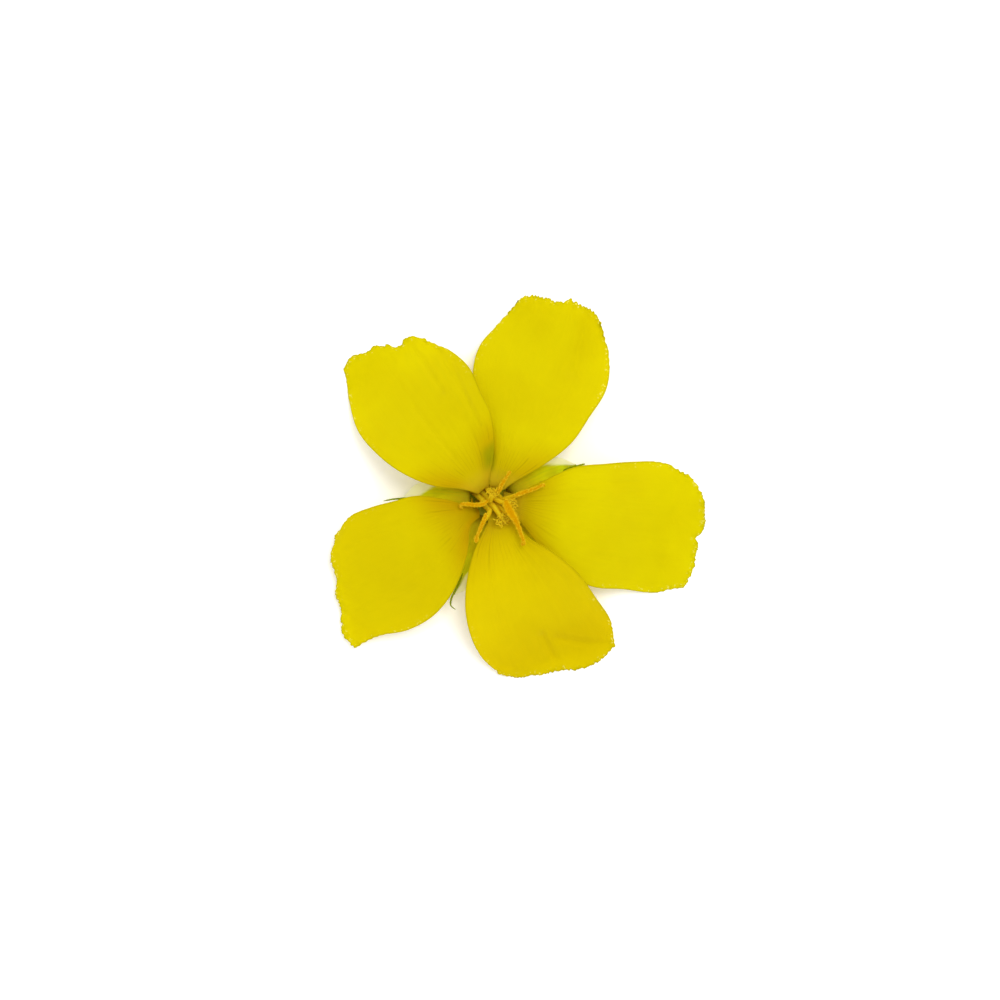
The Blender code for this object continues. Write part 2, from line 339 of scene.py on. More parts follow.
    def mark(self, name: str) -> Socket:
        """Read a number that the piece's corners carry.

        Args:
            name: The mark's name.

        Returns:
            The number.
        """
        reader = self.nodes.new("ShaderNodeAttribute")
        reader.attribute_name = name
        return reader.outputs["Fac"]

    def bump(self, height: Feed, depth: float) -> None:
        """Shade the surface as if it stood up.

        Args:
            height: How far it stands up, from 0 to 1.
            depth: The full height in mm.
        """
        node = self.nodes.new("ShaderNodeBump")
        self.feed(node.inputs["Height"], height)
        self.feed(node.inputs["Distance"], depth * MM)
        self.feed(self.shader.inputs["Normal"], node.outputs[0])

    def colour(self, colour: Feed, through: float = 0.0) -> bpy.types.Material:
        """Set the colour, let a share of the light through, and hand the material over.

        Args:
            colour: The surface's colour.
            through: The share of light that a thin blade passes to its other side.

        Returns:
            The finished material.
        """
        self.feed(self.shader.inputs["Base Color"], colour)
        if through:
            back = self.nodes.new("ShaderNodeBsdfTranslucent")
            self.feed(back.inputs["Color"], colour)
            both = self.nodes.new("ShaderNodeMixShader")
            self.feed(both.inputs[0], through)
            self.feed(both.inputs[1], self.shader.outputs[0])
            self.feed(both.inputs[2], back.outputs[0])
            self.feed(self.nodes["Material Output"].inputs["Surface"], both.outputs[0])
        return self.material


def linear(part: int) -> float:
    """One part of an sRGB colour, from 0 to 255, in linear light."""
    share = part / 255
    return share / 12.92 if share < 0.04045 else ((share + 0.055) / 1.055)**2.4


def seen(red: int, green: int, blue: int) -> Floats:
    """An sRGB colour, each part from 0 to 255, as a linear colour with its alpha."""
    return (linear(red), linear(green), linear(blue), 1.0)


@dataclass(frozen=True)
class PetalFinish:
    """Lemon-golden tissue, darker and veined towards the throat.

    Colours are as seen, from 0 to 255. A pair of numbers is where an effect begins and where it is full,
    outwards in shares of UV_REACH, across from 0 to 1, or in mm from the rim.
    """

    name: str
    middle: Shade = (229, 218, 0)
    shade: float = 0.5
    vein_depth: float = 0.35
    blush: float = 0.5
    # Painted light: the claws are painted paler, standing in for light inside the shaded throat.
    claw_painted_light: float = 0.9
    # Painted light: the tip is painted paler where it lies on the floor and less light comes through it.
    tip_painted_light: float = 0.0
    tip_from: float = 0.7
    # Painted shade: a darker stripe across the blade, standing in for the shade of a broad hollow.
    painted_shade_band: float = 0.0
    painted_shade_band_at: float = 0.6
    # Painted show-through: the green of the sepal beneath, painted near one edge by the throat.
    painted_show_through_side: Edge | None = None
    roughness: float = 0.55
    specular: float = 0.15
    through: float = 0.5
    tip_painted_light_run: float = 0.16
    tip_painted_light_colour: Shade = (240, 232, 0)
    painted_shade_band_run: float = 0.16
    painted_shade_band_colour: Shade = (206, 172, 0)
    shade_out: Span = (0.35, 0.13)
    shade_colour: Shade = (206, 177, 0)
    throat_out: Span = (0.34, 0.14)
    blush_aside: Span = (0.1, 0.45)
    blush_colour: Shade = (208, 160, 0)
    claw_painted_light_out: Span = (0.17, 0.08)
    claw_painted_light_colour: Shade = (238, 216, 40)
    # How strong the painted show-through is.
    green: float = 0.7
    painted_show_through_at: float = 0.165
    painted_show_through_run: Span = (0.06, 0.01)
    painted_show_through_aside: Span = (0.2, 0.42)
    painted_show_through_colour: Shade = (166, 172, 6)
    vein_count: int = 19
    vein_width: float = 0.17
    vein_colour: Shade = (132, 104, 0)
    sway: float = 0.035
    sway_scale: float = 9.0
    stagger: float = 0.2
    first_fork: Span = (0.1, 0.42)
    second_fork: Span = (0.38, 0.72)
    break_scale: float = 420.0
    breaks: Span = (0.35, 0.55)
    weakness: float = 0.85
    streaks: float = 0.06
    streak_along: float = 3.0
    streak_across: float = 34.0
    streak_scale: float = 2.2
    streak_veins: float = 0.25
    streak_colour: Shade = (170, 140, 0)
    clouds: float = 0.12
    cloud_scale: float = 130.0
    cloud_steps: Span = (0.4, 0.7)
    cloud_colour: Shade = (204, 178, 0)
    rim_line: float = 0.4
    rim_inset: Span = (0.25, 0.02)
    rim_colour: Shade = (184, 172, 0)
    mottles: float = 0.25
    mottle_inset: Span = (1.2, 0.2)
    mottle_out: Span = (0.65, 0.85)
    mottle_scale: float = 1500.0
    mottle_steps: Span = (0.48, 0.62)
    mottle_colour: Shade = (176, 168, 0)
    # Painted highlights: pale specks near the rim.
    painted_glints: float = 0.8
    glint_inner: Span = (1.0, 0.3)
    glint_outer: Span = (0.08, 0.25)
    glint_out: Span = (0.4, 0.65)
    glint_scale: float = 2400.0
    glint_steps: Span = (0.6, 0.68)
    painted_glint_colour: Shade = (252, 246, 120)
    skin_scale: float = 5200.0
    skin_depth: float = 0.02
    vein_sink: float = 0.6

    def veins(self, work: NodeWork, out: Socket, across: Socket) -> Socket:
        """Lines that fan out from the claw and fork twice on their way to the rim.

        Args:
            work: The material in the making.
            out: The distance outwards.
            across: The place across.

        Returns:
            1 on a strong vein, less on a weak one and 0 between the veins.
        """
        sway = work.times(work.noise(work.vector(out, across), self.sway_scale), self.sway)
        cells = work.times(work.plus(across, sway), float(self.vein_count))
        weak = work.chance(work.math("FLOOR", cells))
        reached = work.minus(out, work.times(weak, self.stagger))
        aside = work.gap(work.math("FRACT", cells), MIDLINE)
        once = work.gap(aside, work.fade(reached, *self.first_fork, 1 / 4))
        twice = work.gap(once, work.fade(reached, *self.second_fork, 1 / 8))
        broken = work.fade(work.noise(work.place(), self.break_scale), *self.breaks)
        strength = work.times(broken, work.minus(1.0, work.times(weak, self.weakness)))
        return work.times(work.fade(twice, self.vein_width, 0.0), strength)

    def ground(self, work: NodeWork, out: Socket, aside: Socket) -> Socket:
        """The broad colours: darker and warmer towards the throat, with painted light on tip and claw and
        a stripe of painted shade.

        Args:
            work: The material in the making.
            out: The distance outwards.
            aside: The distance from the midline, 0 to 0.5.

        Returns:
            The colour.
        """
        # Painted light: a paler tip.
        outer = work.fade(out, self.tip_from, self.tip_from + self.tip_painted_light_run, self.tip_painted_light)
        lit = work.mix(outer, seen(*self.middle), seen(*self.tip_painted_light_colour))
        # Painted shade: a darker stripe across the blade.
        painted_shade_band = work.fade(work.gap(out, self.painted_shade_band_at), self.painted_shade_band_run, 0.0, self.painted_shade_band)
        painted_shade_banded = work.mix(painted_shade_band, lit, seen(*self.painted_shade_band_colour))
        shaded = work.mix(work.fade(out, *self.shade_out, self.shade), painted_shade_banded, seen(*self.shade_colour))
        by_throat = work.fade(out, *self.throat_out)
        blush = work.times(by_throat, work.fade(aside, *self.blush_aside, self.blush))
        warm = work.mix(blush, shaded, seen(*self.blush_colour))
        # Painted light: the claw is painted paler against the throat's shade.
        return work.mix(work.fade(out, *self.claw_painted_light_out, self.claw_painted_light), warm, seen(*self.claw_painted_light_colour))

    def painted_show_through(self, work: NodeWork, out: Socket, across: Socket, colour: Socket) -> Socket:
        """Painted show-through: the green of the sepal beneath, painted by the edge that meets the other
        far petal.

        Args:
            work: The material in the making.
            out: The distance outwards.
            across: The place across.
            colour: The colour so far.

        Returns:
            The shaded colour.
        """
        sidewards = work.times(work.minus(across, MIDLINE), float(self.painted_show_through_side.value))
        near = work.fade(work.gap(out, self.painted_show_through_at), *self.painted_show_through_run)
        green = work.times(near, work.fade(sidewards, *self.painted_show_through_aside, self.green))
        return work.mix(green, colour, seen(*self.painted_show_through_colour))

    def clouded(self, work: NodeWork, blade: tuple[Socket, Socket], veins: Socket,
                colour: Socket) -> Socket:
        """Fine streaks along the blade, and soft clouds over it.

        Args:
            work: The material in the making.
            blade: The distance outwards and the place across.
            veins: The veins.
            colour: The colour so far.

        Returns:
            The streaked and clouded colour.
        """
        out, across = blade
        drawn_out = work.vector(work.times(out, self.streak_along), work.times(across, self.streak_across))
        grain = work.noise(drawn_out, self.streak_scale)
        streaks = work.times(work.plus(grain, work.times(veins, self.streak_veins)), self.streaks)
        streaked = work.mix(streaks, colour, seen(*self.streak_colour))
        clouds = work.fade(work.noise(work.place(), self.cloud_scale), *self.cloud_steps, self.clouds)
        return work.mix(clouds, streaked, seen(*self.cloud_colour))

    def rimmed(self, work: NodeWork, out: Socket, colour: Socket) -> Socket:
        """The rim: a fine line along it, with mottles and, towards the tip, pale painted highlights.

        Args:
            work: The material in the making.
            out: The distance outwards.
            colour: The colour so far.

        Returns:
            The colour with its rim.
        """
        inset = work.mark(INSET_MARK)
        lined = work.mix(work.fade(inset, *self.rim_inset, self.rim_line), colour, seen(*self.rim_colour))
        by_tip = work.fade(out, *self.mottle_out, self.mottles)
        patches = work.fade(work.noise(work.place(), self.mottle_scale), *self.mottle_steps)
        mottles = work.times(work.times(work.fade(inset, *self.mottle_inset), by_tip), patches)
        mottled = work.mix(mottles, lined, seen(*self.mottle_colour))
        # Painted highlights: pale specks near the rim, towards the tip.
        near = work.times(work.fade(inset, *self.glint_inner), work.fade(inset, *self.glint_outer))
        specks = work.fade(work.noise(work.place(), self.glint_scale), *self.glint_steps, self.painted_glints)
        painted_glints = work.times(work.times(specks, near), work.fade(out, *self.glint_out))
        return work.mix(painted_glints, mottled, seen(*self.painted_glint_colour))

    def material(self) -> bpy.types.Material:
        """Dress a petal.

        Returns:
            The petal's material.
        """
        work = NodeWork(self.name, self.roughness, self.specular)
        out, across = work.blade_place()
        veins = self.veins(work, out, across)
        colour = self.ground(work, out, work.gap(across, MIDLINE))
        if self.painted_show_through_side:
            colour = self.painted_show_through(work, out, across, colour)
        drawn = work.times(veins, work.fade(out, *self.throat_out, self.vein_depth))
        veined = work.mix(drawn, colour, seen(*self.vein_colour))
        clouded = self.clouded(work, (out, across), veins, veined)
        skin = work.noise(work.place(), self.skin_scale)
        work.bump(work.plus(work.times(veins, -self.vein_sink), skin), self.skin_depth)
        return work.colour(self.rimmed(work, out, clouded), self.through)


@dataclass(frozen=True)
class SepalFinish:
    """Yellow-green along the middle with finer lines, painted shade in dark olive by the root, and a pale
    thin margin.

    Its pairs of numbers are read as a petal's are.
    """

    name: str
    pale: float
    roughness: float = 0.6
    specular: float = 0.15
    through: float = 0.5
    middle: tuple[tuple[float, Shade], ...] = (
        # The first stops, dark olive by the root near the throat, are painted shade.
        (0.08, (150, 124, 8)),
        (0.12, (210, 192, 22)),
        (0.17, (226, 214, 20)),
        (0.23, (234, 232, 16)),
        (0.34, (222, 232, 26)),
        (0.4, (150, 164, 50)),
    )
    wander: float = 0.08
    wander_scale: float = 14.0
    line_count: int = 9
    line_depth: float = 0.35
    line_width: float = 0.3
    line_colour: Shade = (190, 204, 10)
    clouds: float = 0.4
    cloud_scale: float = 800.0
    cloud_steps: Span = (0.4, 0.65)
    cloud_colour: Shade = (208, 200, 20)
    margin_out: Span = (0.15, 0.24)
    margin_growth: Span = (0.22, 0.36)
    margin_aside: Span = (0.38, 0.5)
    margin_colour: Shade = (253, 254, 226)
    skin_scale: float = 4200.0
    skin_depth: float = 0.03

    def material(self) -> bpy.types.Material:
        """Dress a sepal.

        Returns:
            The sepal's material.
        """
        work = NodeWork(self.name, self.roughness, self.specular)
        out, across = work.blade_place()
        wander = work.times(work.noise(work.vector(out, across), self.wander_scale), self.wander)
        middle = work.ramp(out, tuple((place, seen(*shade)) for place, shade in self.middle))
        cells = work.times(work.plus(across, wander), float(self.line_count))
        weak = work.chance(work.math("FLOOR", cells))
        apart = work.gap(work.math("FRACT", cells), MIDLINE)
        line = work.times(work.fade(apart, self.line_width, 0.0, self.line_depth), weak)
        clouds = work.fade(work.noise(work.place(), self.cloud_scale), *self.cloud_steps, self.clouds)
        clouded = work.mix(clouds, middle, seen(*self.cloud_colour))
        lined = work.mix(line, clouded, seen(*self.line_colour))
        aside = work.plus(work.gap(across, MIDLINE), wander)
        grown = work.plus(aside, work.fade(out, *self.margin_growth, self.pale))
        margin = work.times(work.fade(grown, *self.margin_aside), work.fade(out, *self.margin_out))
        edged = work.mix(margin, lined, seen(*self.margin_colour))
        work.bump(work.plus(line, work.noise(work.place(), self.skin_scale)), self.skin_depth)
        return work.colour(edged, self.through)


@dataclass(frozen=True)
class TissueFinish:
    """Plain plant tissue with cloudy patches of a second colour and a fine grain."""

    name: str
    colour: Shade
    patches: Shade
    patch_size: float = 0.5
    patch_detail: float = 3.0
    patch_steps: Span = (0.35, 0.65)
    grain_size: float = 0.12
    grain_depth: float = 0.02
    roughness: float = 0.6
    specular: float = 0.15
    through: float = 0.0
    groove: Shade | None = None
    groove_steps: Span = (0.55, 0.95)

    def material(self) -> bpy.types.Material:
        """Dress a piece, darker in its grooves where the finish has a colour for them.

        Returns:
            The tissue's material.
        """
        work = NodeWork(self.name, self.roughness, self.specular)
        place = work.place()
        clouds = work.noise(place, 1 / (self.patch_size * MM), self.patch_detail)
        work.bump(work.noise(place, 1 / (self.grain_size * MM)), self.grain_depth)
        tissue = work.mix(work.fade(clouds, *self.patch_steps), seen(*self.colour), seen(*self.patches))
        if self.groove:
            depth = work.fade(work.mark(GROOVE_MARK), *self.groove_steps)
            tissue = work.mix(depth, tissue, seen(*self.groove))
        return work.colour(tissue, self.through)


CALYX_TUBE_FINISH = TissueFinish("calyx tube", (204, 206, 72), (186, 192, 56), patch_size=0.9, through=0.6)
CALYX_HAIR_FINISH = TissueFinish("calyx hair", (206, 208, 150), (188, 192, 120), grain_depth=0.004)
AWN_FINISH = TissueFinish("awn", (134, 148, 0), (112, 130, 0), specular=0.03)
ANTHER_FINISH = TissueFinish("anther", (206, 170, 16), (194, 148, 6), patch_size=0.35, grain_depth=0.05,
                             roughness=0.8, specular=0.05, groove=(186, 132, 0))
POLLEN_FINISH = TissueFinish("pollen", (216, 184, 30), (200, 160, 12), patch_size=0.2, grain_depth=0.004,
                             roughness=0.8, specular=0.05)
FILAMENT_FINISH = TissueFinish("filament", (250, 230, 34), (244, 216, 24), through=0.4,
                               groove=(238, 208, 18))
STYLE_FINISH = TissueFinish("style", (252, 232, 36), (246, 220, 26), through=0.4, groove=(240, 210, 20))
STIGMA_FINISH = TissueFinish("stigma", (246, 224, 40), (238, 208, 26), patch_size=0.2, through=0.4)
OVARY_FINISH = TissueFinish("ovary", (176, 184, 50), (150, 164, 40))


def add_piece(name: str, work: bmesh.types.BMesh, material: bpy.types.Material) -> bpy.types.Object:
    """Turn a finished bmesh into a smooth object at the origin, and free it.

    Args:
        name: The piece's name.
        work: The bmesh.
        material: The piece's material.

    Returns:
        The piece.
    """
    mesh = bpy.data.meshes.new(name)
    work.to_mesh(mesh)
    work.free()
    mesh.materials.append(material)
    mesh.shade_smooth()
    piece = bpy.data.objects.new(name, mesh)
    bpy.context.scene.collection.objects.link(piece)
    return piece


def settle(piece: bpy.types.Object, node: str, slot: Slot) -> bpy.types.Object:
    """Let a piece ride on the flower and stand for its CAD node.

    Args:
        piece: The finished piece.
        node: The CAD node that it stands for.
        slot: The slot that its finish comes from; it is not used.

    Returns:
        The piece.
    """
    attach(piece, BODY)
    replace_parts(piece, node)
    return piece


def thicken(piece: bpy.types.Object, thickness: float) -> None:
    """Give a blade its thickness, upwards from its modelled underside.

    Args:
        piece: The blade.
        thickness: Its thickness in mm.
    """
    shell = piece.modifiers.new("Thickness", "SOLIDIFY")
    shell.thickness = thickness * MM
    shell.offset = 1.0


@dataclass(frozen=True)
class BladePoint:
    """A point of a blade: its place in metres, and in mm how far out and how far from an edge it is."""

    place: Vector
    out: float
    inset: float


def blade_work(rows: int, columns: int, surface: Callable[[float, float], BladePoint],
               spacing: float) -> bmesh.types.BMesh:
    """A blade's underside as a shaped grid with its own UV map.

    Args:
        rows: Steps along the blade.
        columns: Steps across it.
        surface: Gives the blade's point from along and across.
        spacing: Above 1, the rows lie closer at the foot.

    Returns:
        The shaped bmesh.
    """
    work = bmesh.new()
    bmesh.ops.create_grid(work, x_segments=rows, y_segments=columns, size=1.0)
    marks = work.loops.layers.uv.new(BLADE_MAP)
    insets = work.verts.layers.float.new(INSET_MARK)
    for corner in work.verts:
        across = corner.co.y
        point = surface(((corner.co.x + 1) / 2)**spacing, across)
        corner.co = point.place
        corner[insets] = point.inset
        for loop in corner.link_loops:
            loop[marks].uv = (point.out / UV_REACH, (across + 1) / 2)
    return work


@dataclass(frozen=True)
class Rod:
    """A closed rod along a line, with a section of any shape."""

    line: Callable[[float], Vector]
    section: Callable[[float, float], tuple[float, float]]
    stations: int
    sides: int
    up: Vector

    def frames(self) -> list[tuple[Vector, Vector, Vector]]:
        """Carry a frame along the line without a twist.

        Returns:
            Each station's place, with its sideways and its upward vector.
        """
        points = [self.line(step / (self.stations - 1)) for step in range(self.stations)]
        up = self.up
        made = []
        for number, point in enumerate(points):
            ahead = points[min(number + 1, len(points) - 1)] - points[max(number - 1, 0)]
            ahead.normalize()
            up = (up - ahead * up.dot(ahead)).normalized()
            made.append((point, ahead.cross(up), up))
        return made

    def build(self, work: bmesh.types.BMesh) -> None:
        """Add the rod to a bmesh: a ring of corners, drawn out station by station and closed.

        Args:
            work: The bmesh to add to.
        """
        order = work.verts.layers.int.get("order") or work.verts.layers.int.new("order")
        groove = work.verts.layers.float.get(GROOVE_MARK) or work.verts.layers.float.new(GROOVE_MARK)
        ring = bmesh.ops.create_circle(work, cap_ends=True, segments=self.sides, radius=MM)["verts"]
        for number, corner in enumerate(ring):
            corner[order] = number
        edges = list({edge for corner in ring for edge in corner.link_edges})
        for number, (centre, sideways, up) in enumerate(self.frames()):
            if number:
                grown = bmesh.ops.extrude_edge_only(work, edges=edges)["geom"]
                ring = [part for part in grown if isinstance(part, bmesh.types.BMVert)]
                fresh = set(ring)
                edges = [part for part in grown
                         if isinstance(part, bmesh.types.BMEdge) and fresh.issuperset(part.verts)]
            share = number / (self.stations - 1)
            for corner in ring:
                angle = math.tau * corner[order] / self.sides
                aside, above = self.section(angle, share)
                corner.co = centre + (sideways * aside + up * above) * MM
                corner[groove] = abs(math.sin(angle))
        bmesh.ops.edgeloop_fill(work, edges=edges)


def round_section(radii: Floats) -> Callable[[float, float], tuple[float, float]]:
    """Make a rod's round section.

    Args:
        radii: Radii in mm, evenly spaced along the rod.

    Returns:
        The section, which gives the offsets at an angle and at a share of the rod's length.
    """
    def section(angle: float, share: float) -> tuple[float, float]:
        """The offsets sideways and up at an angle."""
        radius = smooth_through(radii, share)
        return math.cos(angle) * radius, math.sin(angle) * radius
    return section


def close_rods(work: bmesh.types.BMesh) -> bmesh.types.BMesh:
    """Drop the corner numbers that rods leave, and turn every face outwards.

    Args:
        work: The bmesh that holds the rods.

    Returns:
        The same bmesh.
    """
    work.verts.layers.int.remove(work.verts.layers.int["order"])
    bmesh.ops.recalc_face_normals(work, faces=work.faces)
    return work


def planted(template: bpy.types.Mesh, places: Iterable[Matrix]) -> bmesh.types.BMesh:
    """Set copies of a small mesh at many places.

    Args:
        template: The small mesh.
        places: Each copy's placing.

    Returns:
        One bmesh that holds them all.
    """
    work = bmesh.new()
    for place in places:
        copy = template.copy()
        copy.transform(place)
        work.from_mesh(copy)
        bpy.data.meshes.remove(copy)
    return work


def aimed(root: Vector, direction: Vector, length: float, turn: float) -> Matrix:
    """The placing that stands an upright shape of unit height at a root.

    Args:
        root: The foot's place in metres.
        direction: The way that it points.
        length: Its length in mm.
        turn: How far it is turned about itself.

    Returns:
        The placing.
    """
    rotation = direction.to_track_quat("Z", "Y").to_matrix().to_4x4() @ Matrix.Rotation(turn, 4, "Z")
    return Matrix.Translation(root) @ rotation @ Matrix.Scale(length * MM, 4)


def hair_template(width: float, bend: float) -> bpy.types.Mesh:
    """An upright hair of unit height, tapered and bent.

    Args:
        width: Its radius at the root, as a share of its length.
        bend: How far its tip leans over, as a share of its length.

    Returns:
        The hair's mesh.
    """
    work = bmesh.new()
    taper = round_section(tuple(share * width / MM for share in HAIR_TAPER))
    Rod(lambda share: Vector((bend * share**2, 0.0, share)), taper, stations=4, sides=4,
        up=SIDEWAYS).build(work)
    mesh = bpy.data.meshes.new("hair")
    close_rods(work).to_mesh(mesh)
    work.free()
    return mesh


@dataclass(frozen=True)
class Nick:
    """A nick in a petal's rim, or a point that stands out where its depth is below zero."""

    across: float
    depth: float
    width: float

    def cut(self, across: float) -> float:
        """How deep in mm it cuts at a place across."""
        return self.depth * math.exp(-((across - self.across) / self.width)**2)


@dataclass(frozen=True)
class Crease:
    """A soft fold in a petal, between two plan points in mm from the throat."""

    start: tuple[float, float]
    end: tuple[float, float]
    depth: float
    width: float

    def lift(self, place: Vector) -> float:
        """Work out how far the fold lifts a point of the petal.

        Args:
            place: The point's plan place in mm from the throat.

        Returns:
            The lift in mm.
        """
        start = Vector((*self.start, 0.0))
        run = Vector((*self.end, 0.0)) - start
        share = (place - start).dot(run) / run.length_squared
        near = start + run * min(max(share, 0.0), 1.0)
        gap = math.hypot(place.x - near.x, place.y - near.y)
        return self.depth * math.exp(-(gap / self.width)**2)


@dataclass(frozen=True)
class BladeForm:
    """The sizes that all five petals share."""

    claw_start: float = 2.2
    claw_half_width: float = 1.1
    claw_fan: float = 0.45
    claw_flare: float = 3.0
    claw_margin: Span = (0.0, 0.3)
    claw_depth: float = 1.0
    funnel_rise: float = 2.95
    funnel_spread: float = 1.4
    fall_length: float = 25.5
    fall_shares: Floats = (0.0, 0.0, 0.06, 0.25, 0.5, 0.76, 0.96, 1.0)
    edge_shares: Floats = (0.0, 0.8, 1.0, 1.0, 0.9, 0.6, 0.4, 0.35)
    wave_angle: float = 4.5
    margin: float = 0.19
    teeth_from: float = 0.9
    coarse_teeth: float = 17.0
    fine_teeth: float = 41.0
    fine_share: float = 0.5
    fine_row: float = 5.0
    side_stretch: float = 1.6
    side_teeth: Span = (0.7, 0.95)
    thickness: float = 0.22
    rows: int = 120
    columns: int = 150
    row_spacing: float = 1.2
    pleat_depth: float = 0.05
    pleats: float = 9.0
    pleat_length: float = 14.0
    swell_depth: float = 0.16
    swell_size: float = 4.5
    crinkle_depth: float = 0.22
    crinkle_size: float = 1.1
    crinkle_reach: float = 4.0
    relief_out: Span = (3.0, 9.0)
    landing: float = 0.12
    nip_at: float = 0.09
    nip_width: float = 0.06


FORM = BladeForm()


@dataclass(frozen=True)
class Petal:
    """One petal: its outline each side of its midline, its rim from left to right, and its wear."""

    name: str
    heading: float
    left: Floats
    right: Floats
    rim: Floats
    tip: float
    left_lift: float
    right_lift: float
    wave: float
    wave_turn: float
    finish: PetalFinish
    claw_reach: float = 0.0
    nips: tuple[float, float] = (0.0, 0.0)
    tooth_depth: float = 0.3
    nicks: tuple[Nick, ...] = ()
    creases: tuple[Crease, ...] = ()

    def ragged(self, place: float, row: float) -> float:
        """Cut the small teeth of an edge, which point outwards.

        Args:
            place: Where along the edge.
            row: A number that sets this edge's noise apart.

        Returns:
            The depth in mm.
        """
        coarse = abs(noise.noise(Vector((place * FORM.coarse_teeth, self.heading, row))))
        fine = abs(noise.noise(Vector((place * FORM.fine_teeth, self.heading, row + FORM.fine_row))))
        return self.tooth_depth * (coarse + FORM.fine_share * fine)

    def reach(self, across: float) -> float:
        """Measure from the throat to the rim, with its nicks but not its teeth.

        Args:
            across: The place across.

        Returns:
            The distance in mm.
        """
        across = min(max(across, -1.0), 1.0)
        nicked = sum(nick.cut(across) for nick in self.nicks)
        return smooth_through(self.rim, (1 - across) / 2) + FORM.margin - nicked

    def half_width(self, along: float, edge: Edge) -> float:
        """Measure from the midline to one edge, drawn in above the claw, without its teeth.

        Args:
            along: The place along.
            edge: Which edge.

        Returns:
            The width in mm.
        """
        side, nip = (self.left, self.nips[0]) if edge is Edge.LEFT else (self.right, self.nips[1])
        drawn_in = nip * math.exp(-((along - FORM.nip_at) / FORM.nip_width)**2)
        full = smooth_through((FORM.claw_half_width,) + side, along)
        return full + FORM.margin * smooth_step(*FORM.claw_margin, along) - drawn_in

    def relief(self, place: Vector, across: float, from_rim: float) -> float:
        """Model the fine relief: pleats, broad swells, crinkles by the rim, and creases.

        Args:
            place: The point's plan place in mm from the throat.
            across: The place across.
            from_rim: The distance in mm to the rim.

        Returns:
            The height in mm.
        """
        folds = Vector((across * FORM.pleats, from_rim / FORM.pleat_length, self.heading))
        pleat = FORM.pleat_depth * noise.noise(folds)
        swell = FORM.swell_depth * noise.noise(place / FORM.swell_size + UP * self.heading)
        crinkle = FORM.crinkle_depth * noise.noise(place / FORM.crinkle_size + UP * self.heading)
        near_rim = smooth_step(FORM.crinkle_reach, 0.0, from_rim)
        return pleat + swell + crinkle * near_rim + sum(crease.lift(place) for crease in self.creases)

    def shaped(self, along: float, across: float, distance: float) -> float:
        """Model the broad form beyond the funnel: lifted edges and a wave in the rim.

        Args:
            along: The place along.
            across: The place across.
            distance: The distance outwards in mm.

        Returns:
            The height in mm from the throat's.
        """
        crest = THROAT.z + FORM.funnel_rise - FORM.claw_depth
        sunk = smooth_through(FORM.fall_shares, (distance - FORM.claw_start) / FORM.fall_length)
        lift = self.left_lift if across > 0 else self.right_lift
        edge = lift * across**2 * smooth_through(FORM.edge_shares, along)
        rolled = math.sin(FORM.wave_angle * across + self.wave_turn)
        wave = self.wave * rolled * max(along, 0.0)**2 * across**2
        return edge + wave - (crest - self.tip) * sunk

    def surface(self, along: float, across: float) -> BladePoint:
        """Find a point of the petal's underside.

        Args:
            along: The place along.
            across: The place across.

        Returns:
            The point.
        """
        side = Edge.LEFT if across > 0 else Edge.RIGHT
        reach = self.reach(across)
        rim_teeth = self.ragged(across, 0.5) * smooth_step(FORM.teeth_from, 1.0, along)
        side_teeth = self.ragged(along * FORM.side_stretch, side.value)
        side_teeth *= smooth_step(FORM.teeth_from, 1.0, abs(across))
        foot = FORM.claw_start - self.claw_reach
        from_rim = (1 - along) * (reach - foot)
        distance = foot + along * (reach - foot) - rim_teeth
        along = (distance - FORM.claw_start) / (reach - FORM.claw_start)
        opening = math.exp((foot - distance) / FORM.funnel_spread)
        rise = FORM.funnel_rise * (1 - opening) - FORM.claw_depth
        claw_room = FORM.claw_fan * distance + FORM.claw_flare * max(distance - FORM.claw_start, 0.0)
        half_width = min(self.half_width(along, side), claw_room)
        aside = across * half_width - side.value * side_teeth * smooth_step(*FORM.side_teeth, along)
        wrap = aside**2 / (2 * distance) * opening
        plan = heading_vector(self.heading) * (distance - wrap) + heading_vector(self.heading + 90) * aside
        claw = THROAT.leaned(UP * min(rise, 0))
        fine = self.relief(plan, across, reach - distance) * smooth_step(*FORM.relief_out, distance)
        height = (THROAT.z + rise + self.shaped(along, across, distance) + fine) / FORM.landing
        claw.z = FORM.landing * (max(height, 0.0) + math.log1p(math.exp(-abs(height)))) - THROAT.z
        inset = min(from_rim, (1 - abs(across)) * self.half_width(along, side))
        return BladePoint(THROAT.world(plan + claw), distance, inset)

    def build(self) -> bpy.types.Object:
        """Build the petal.

        Returns:
            The finished petal.
        """
        work = blade_work(FORM.rows, FORM.columns, self.surface, FORM.row_spacing)
        piece = add_piece(f"{self.name}_blade", work, self.finish.material())
        thicken(piece, FORM.thickness)
        return settle(piece, self.name, Slot.PETAL)


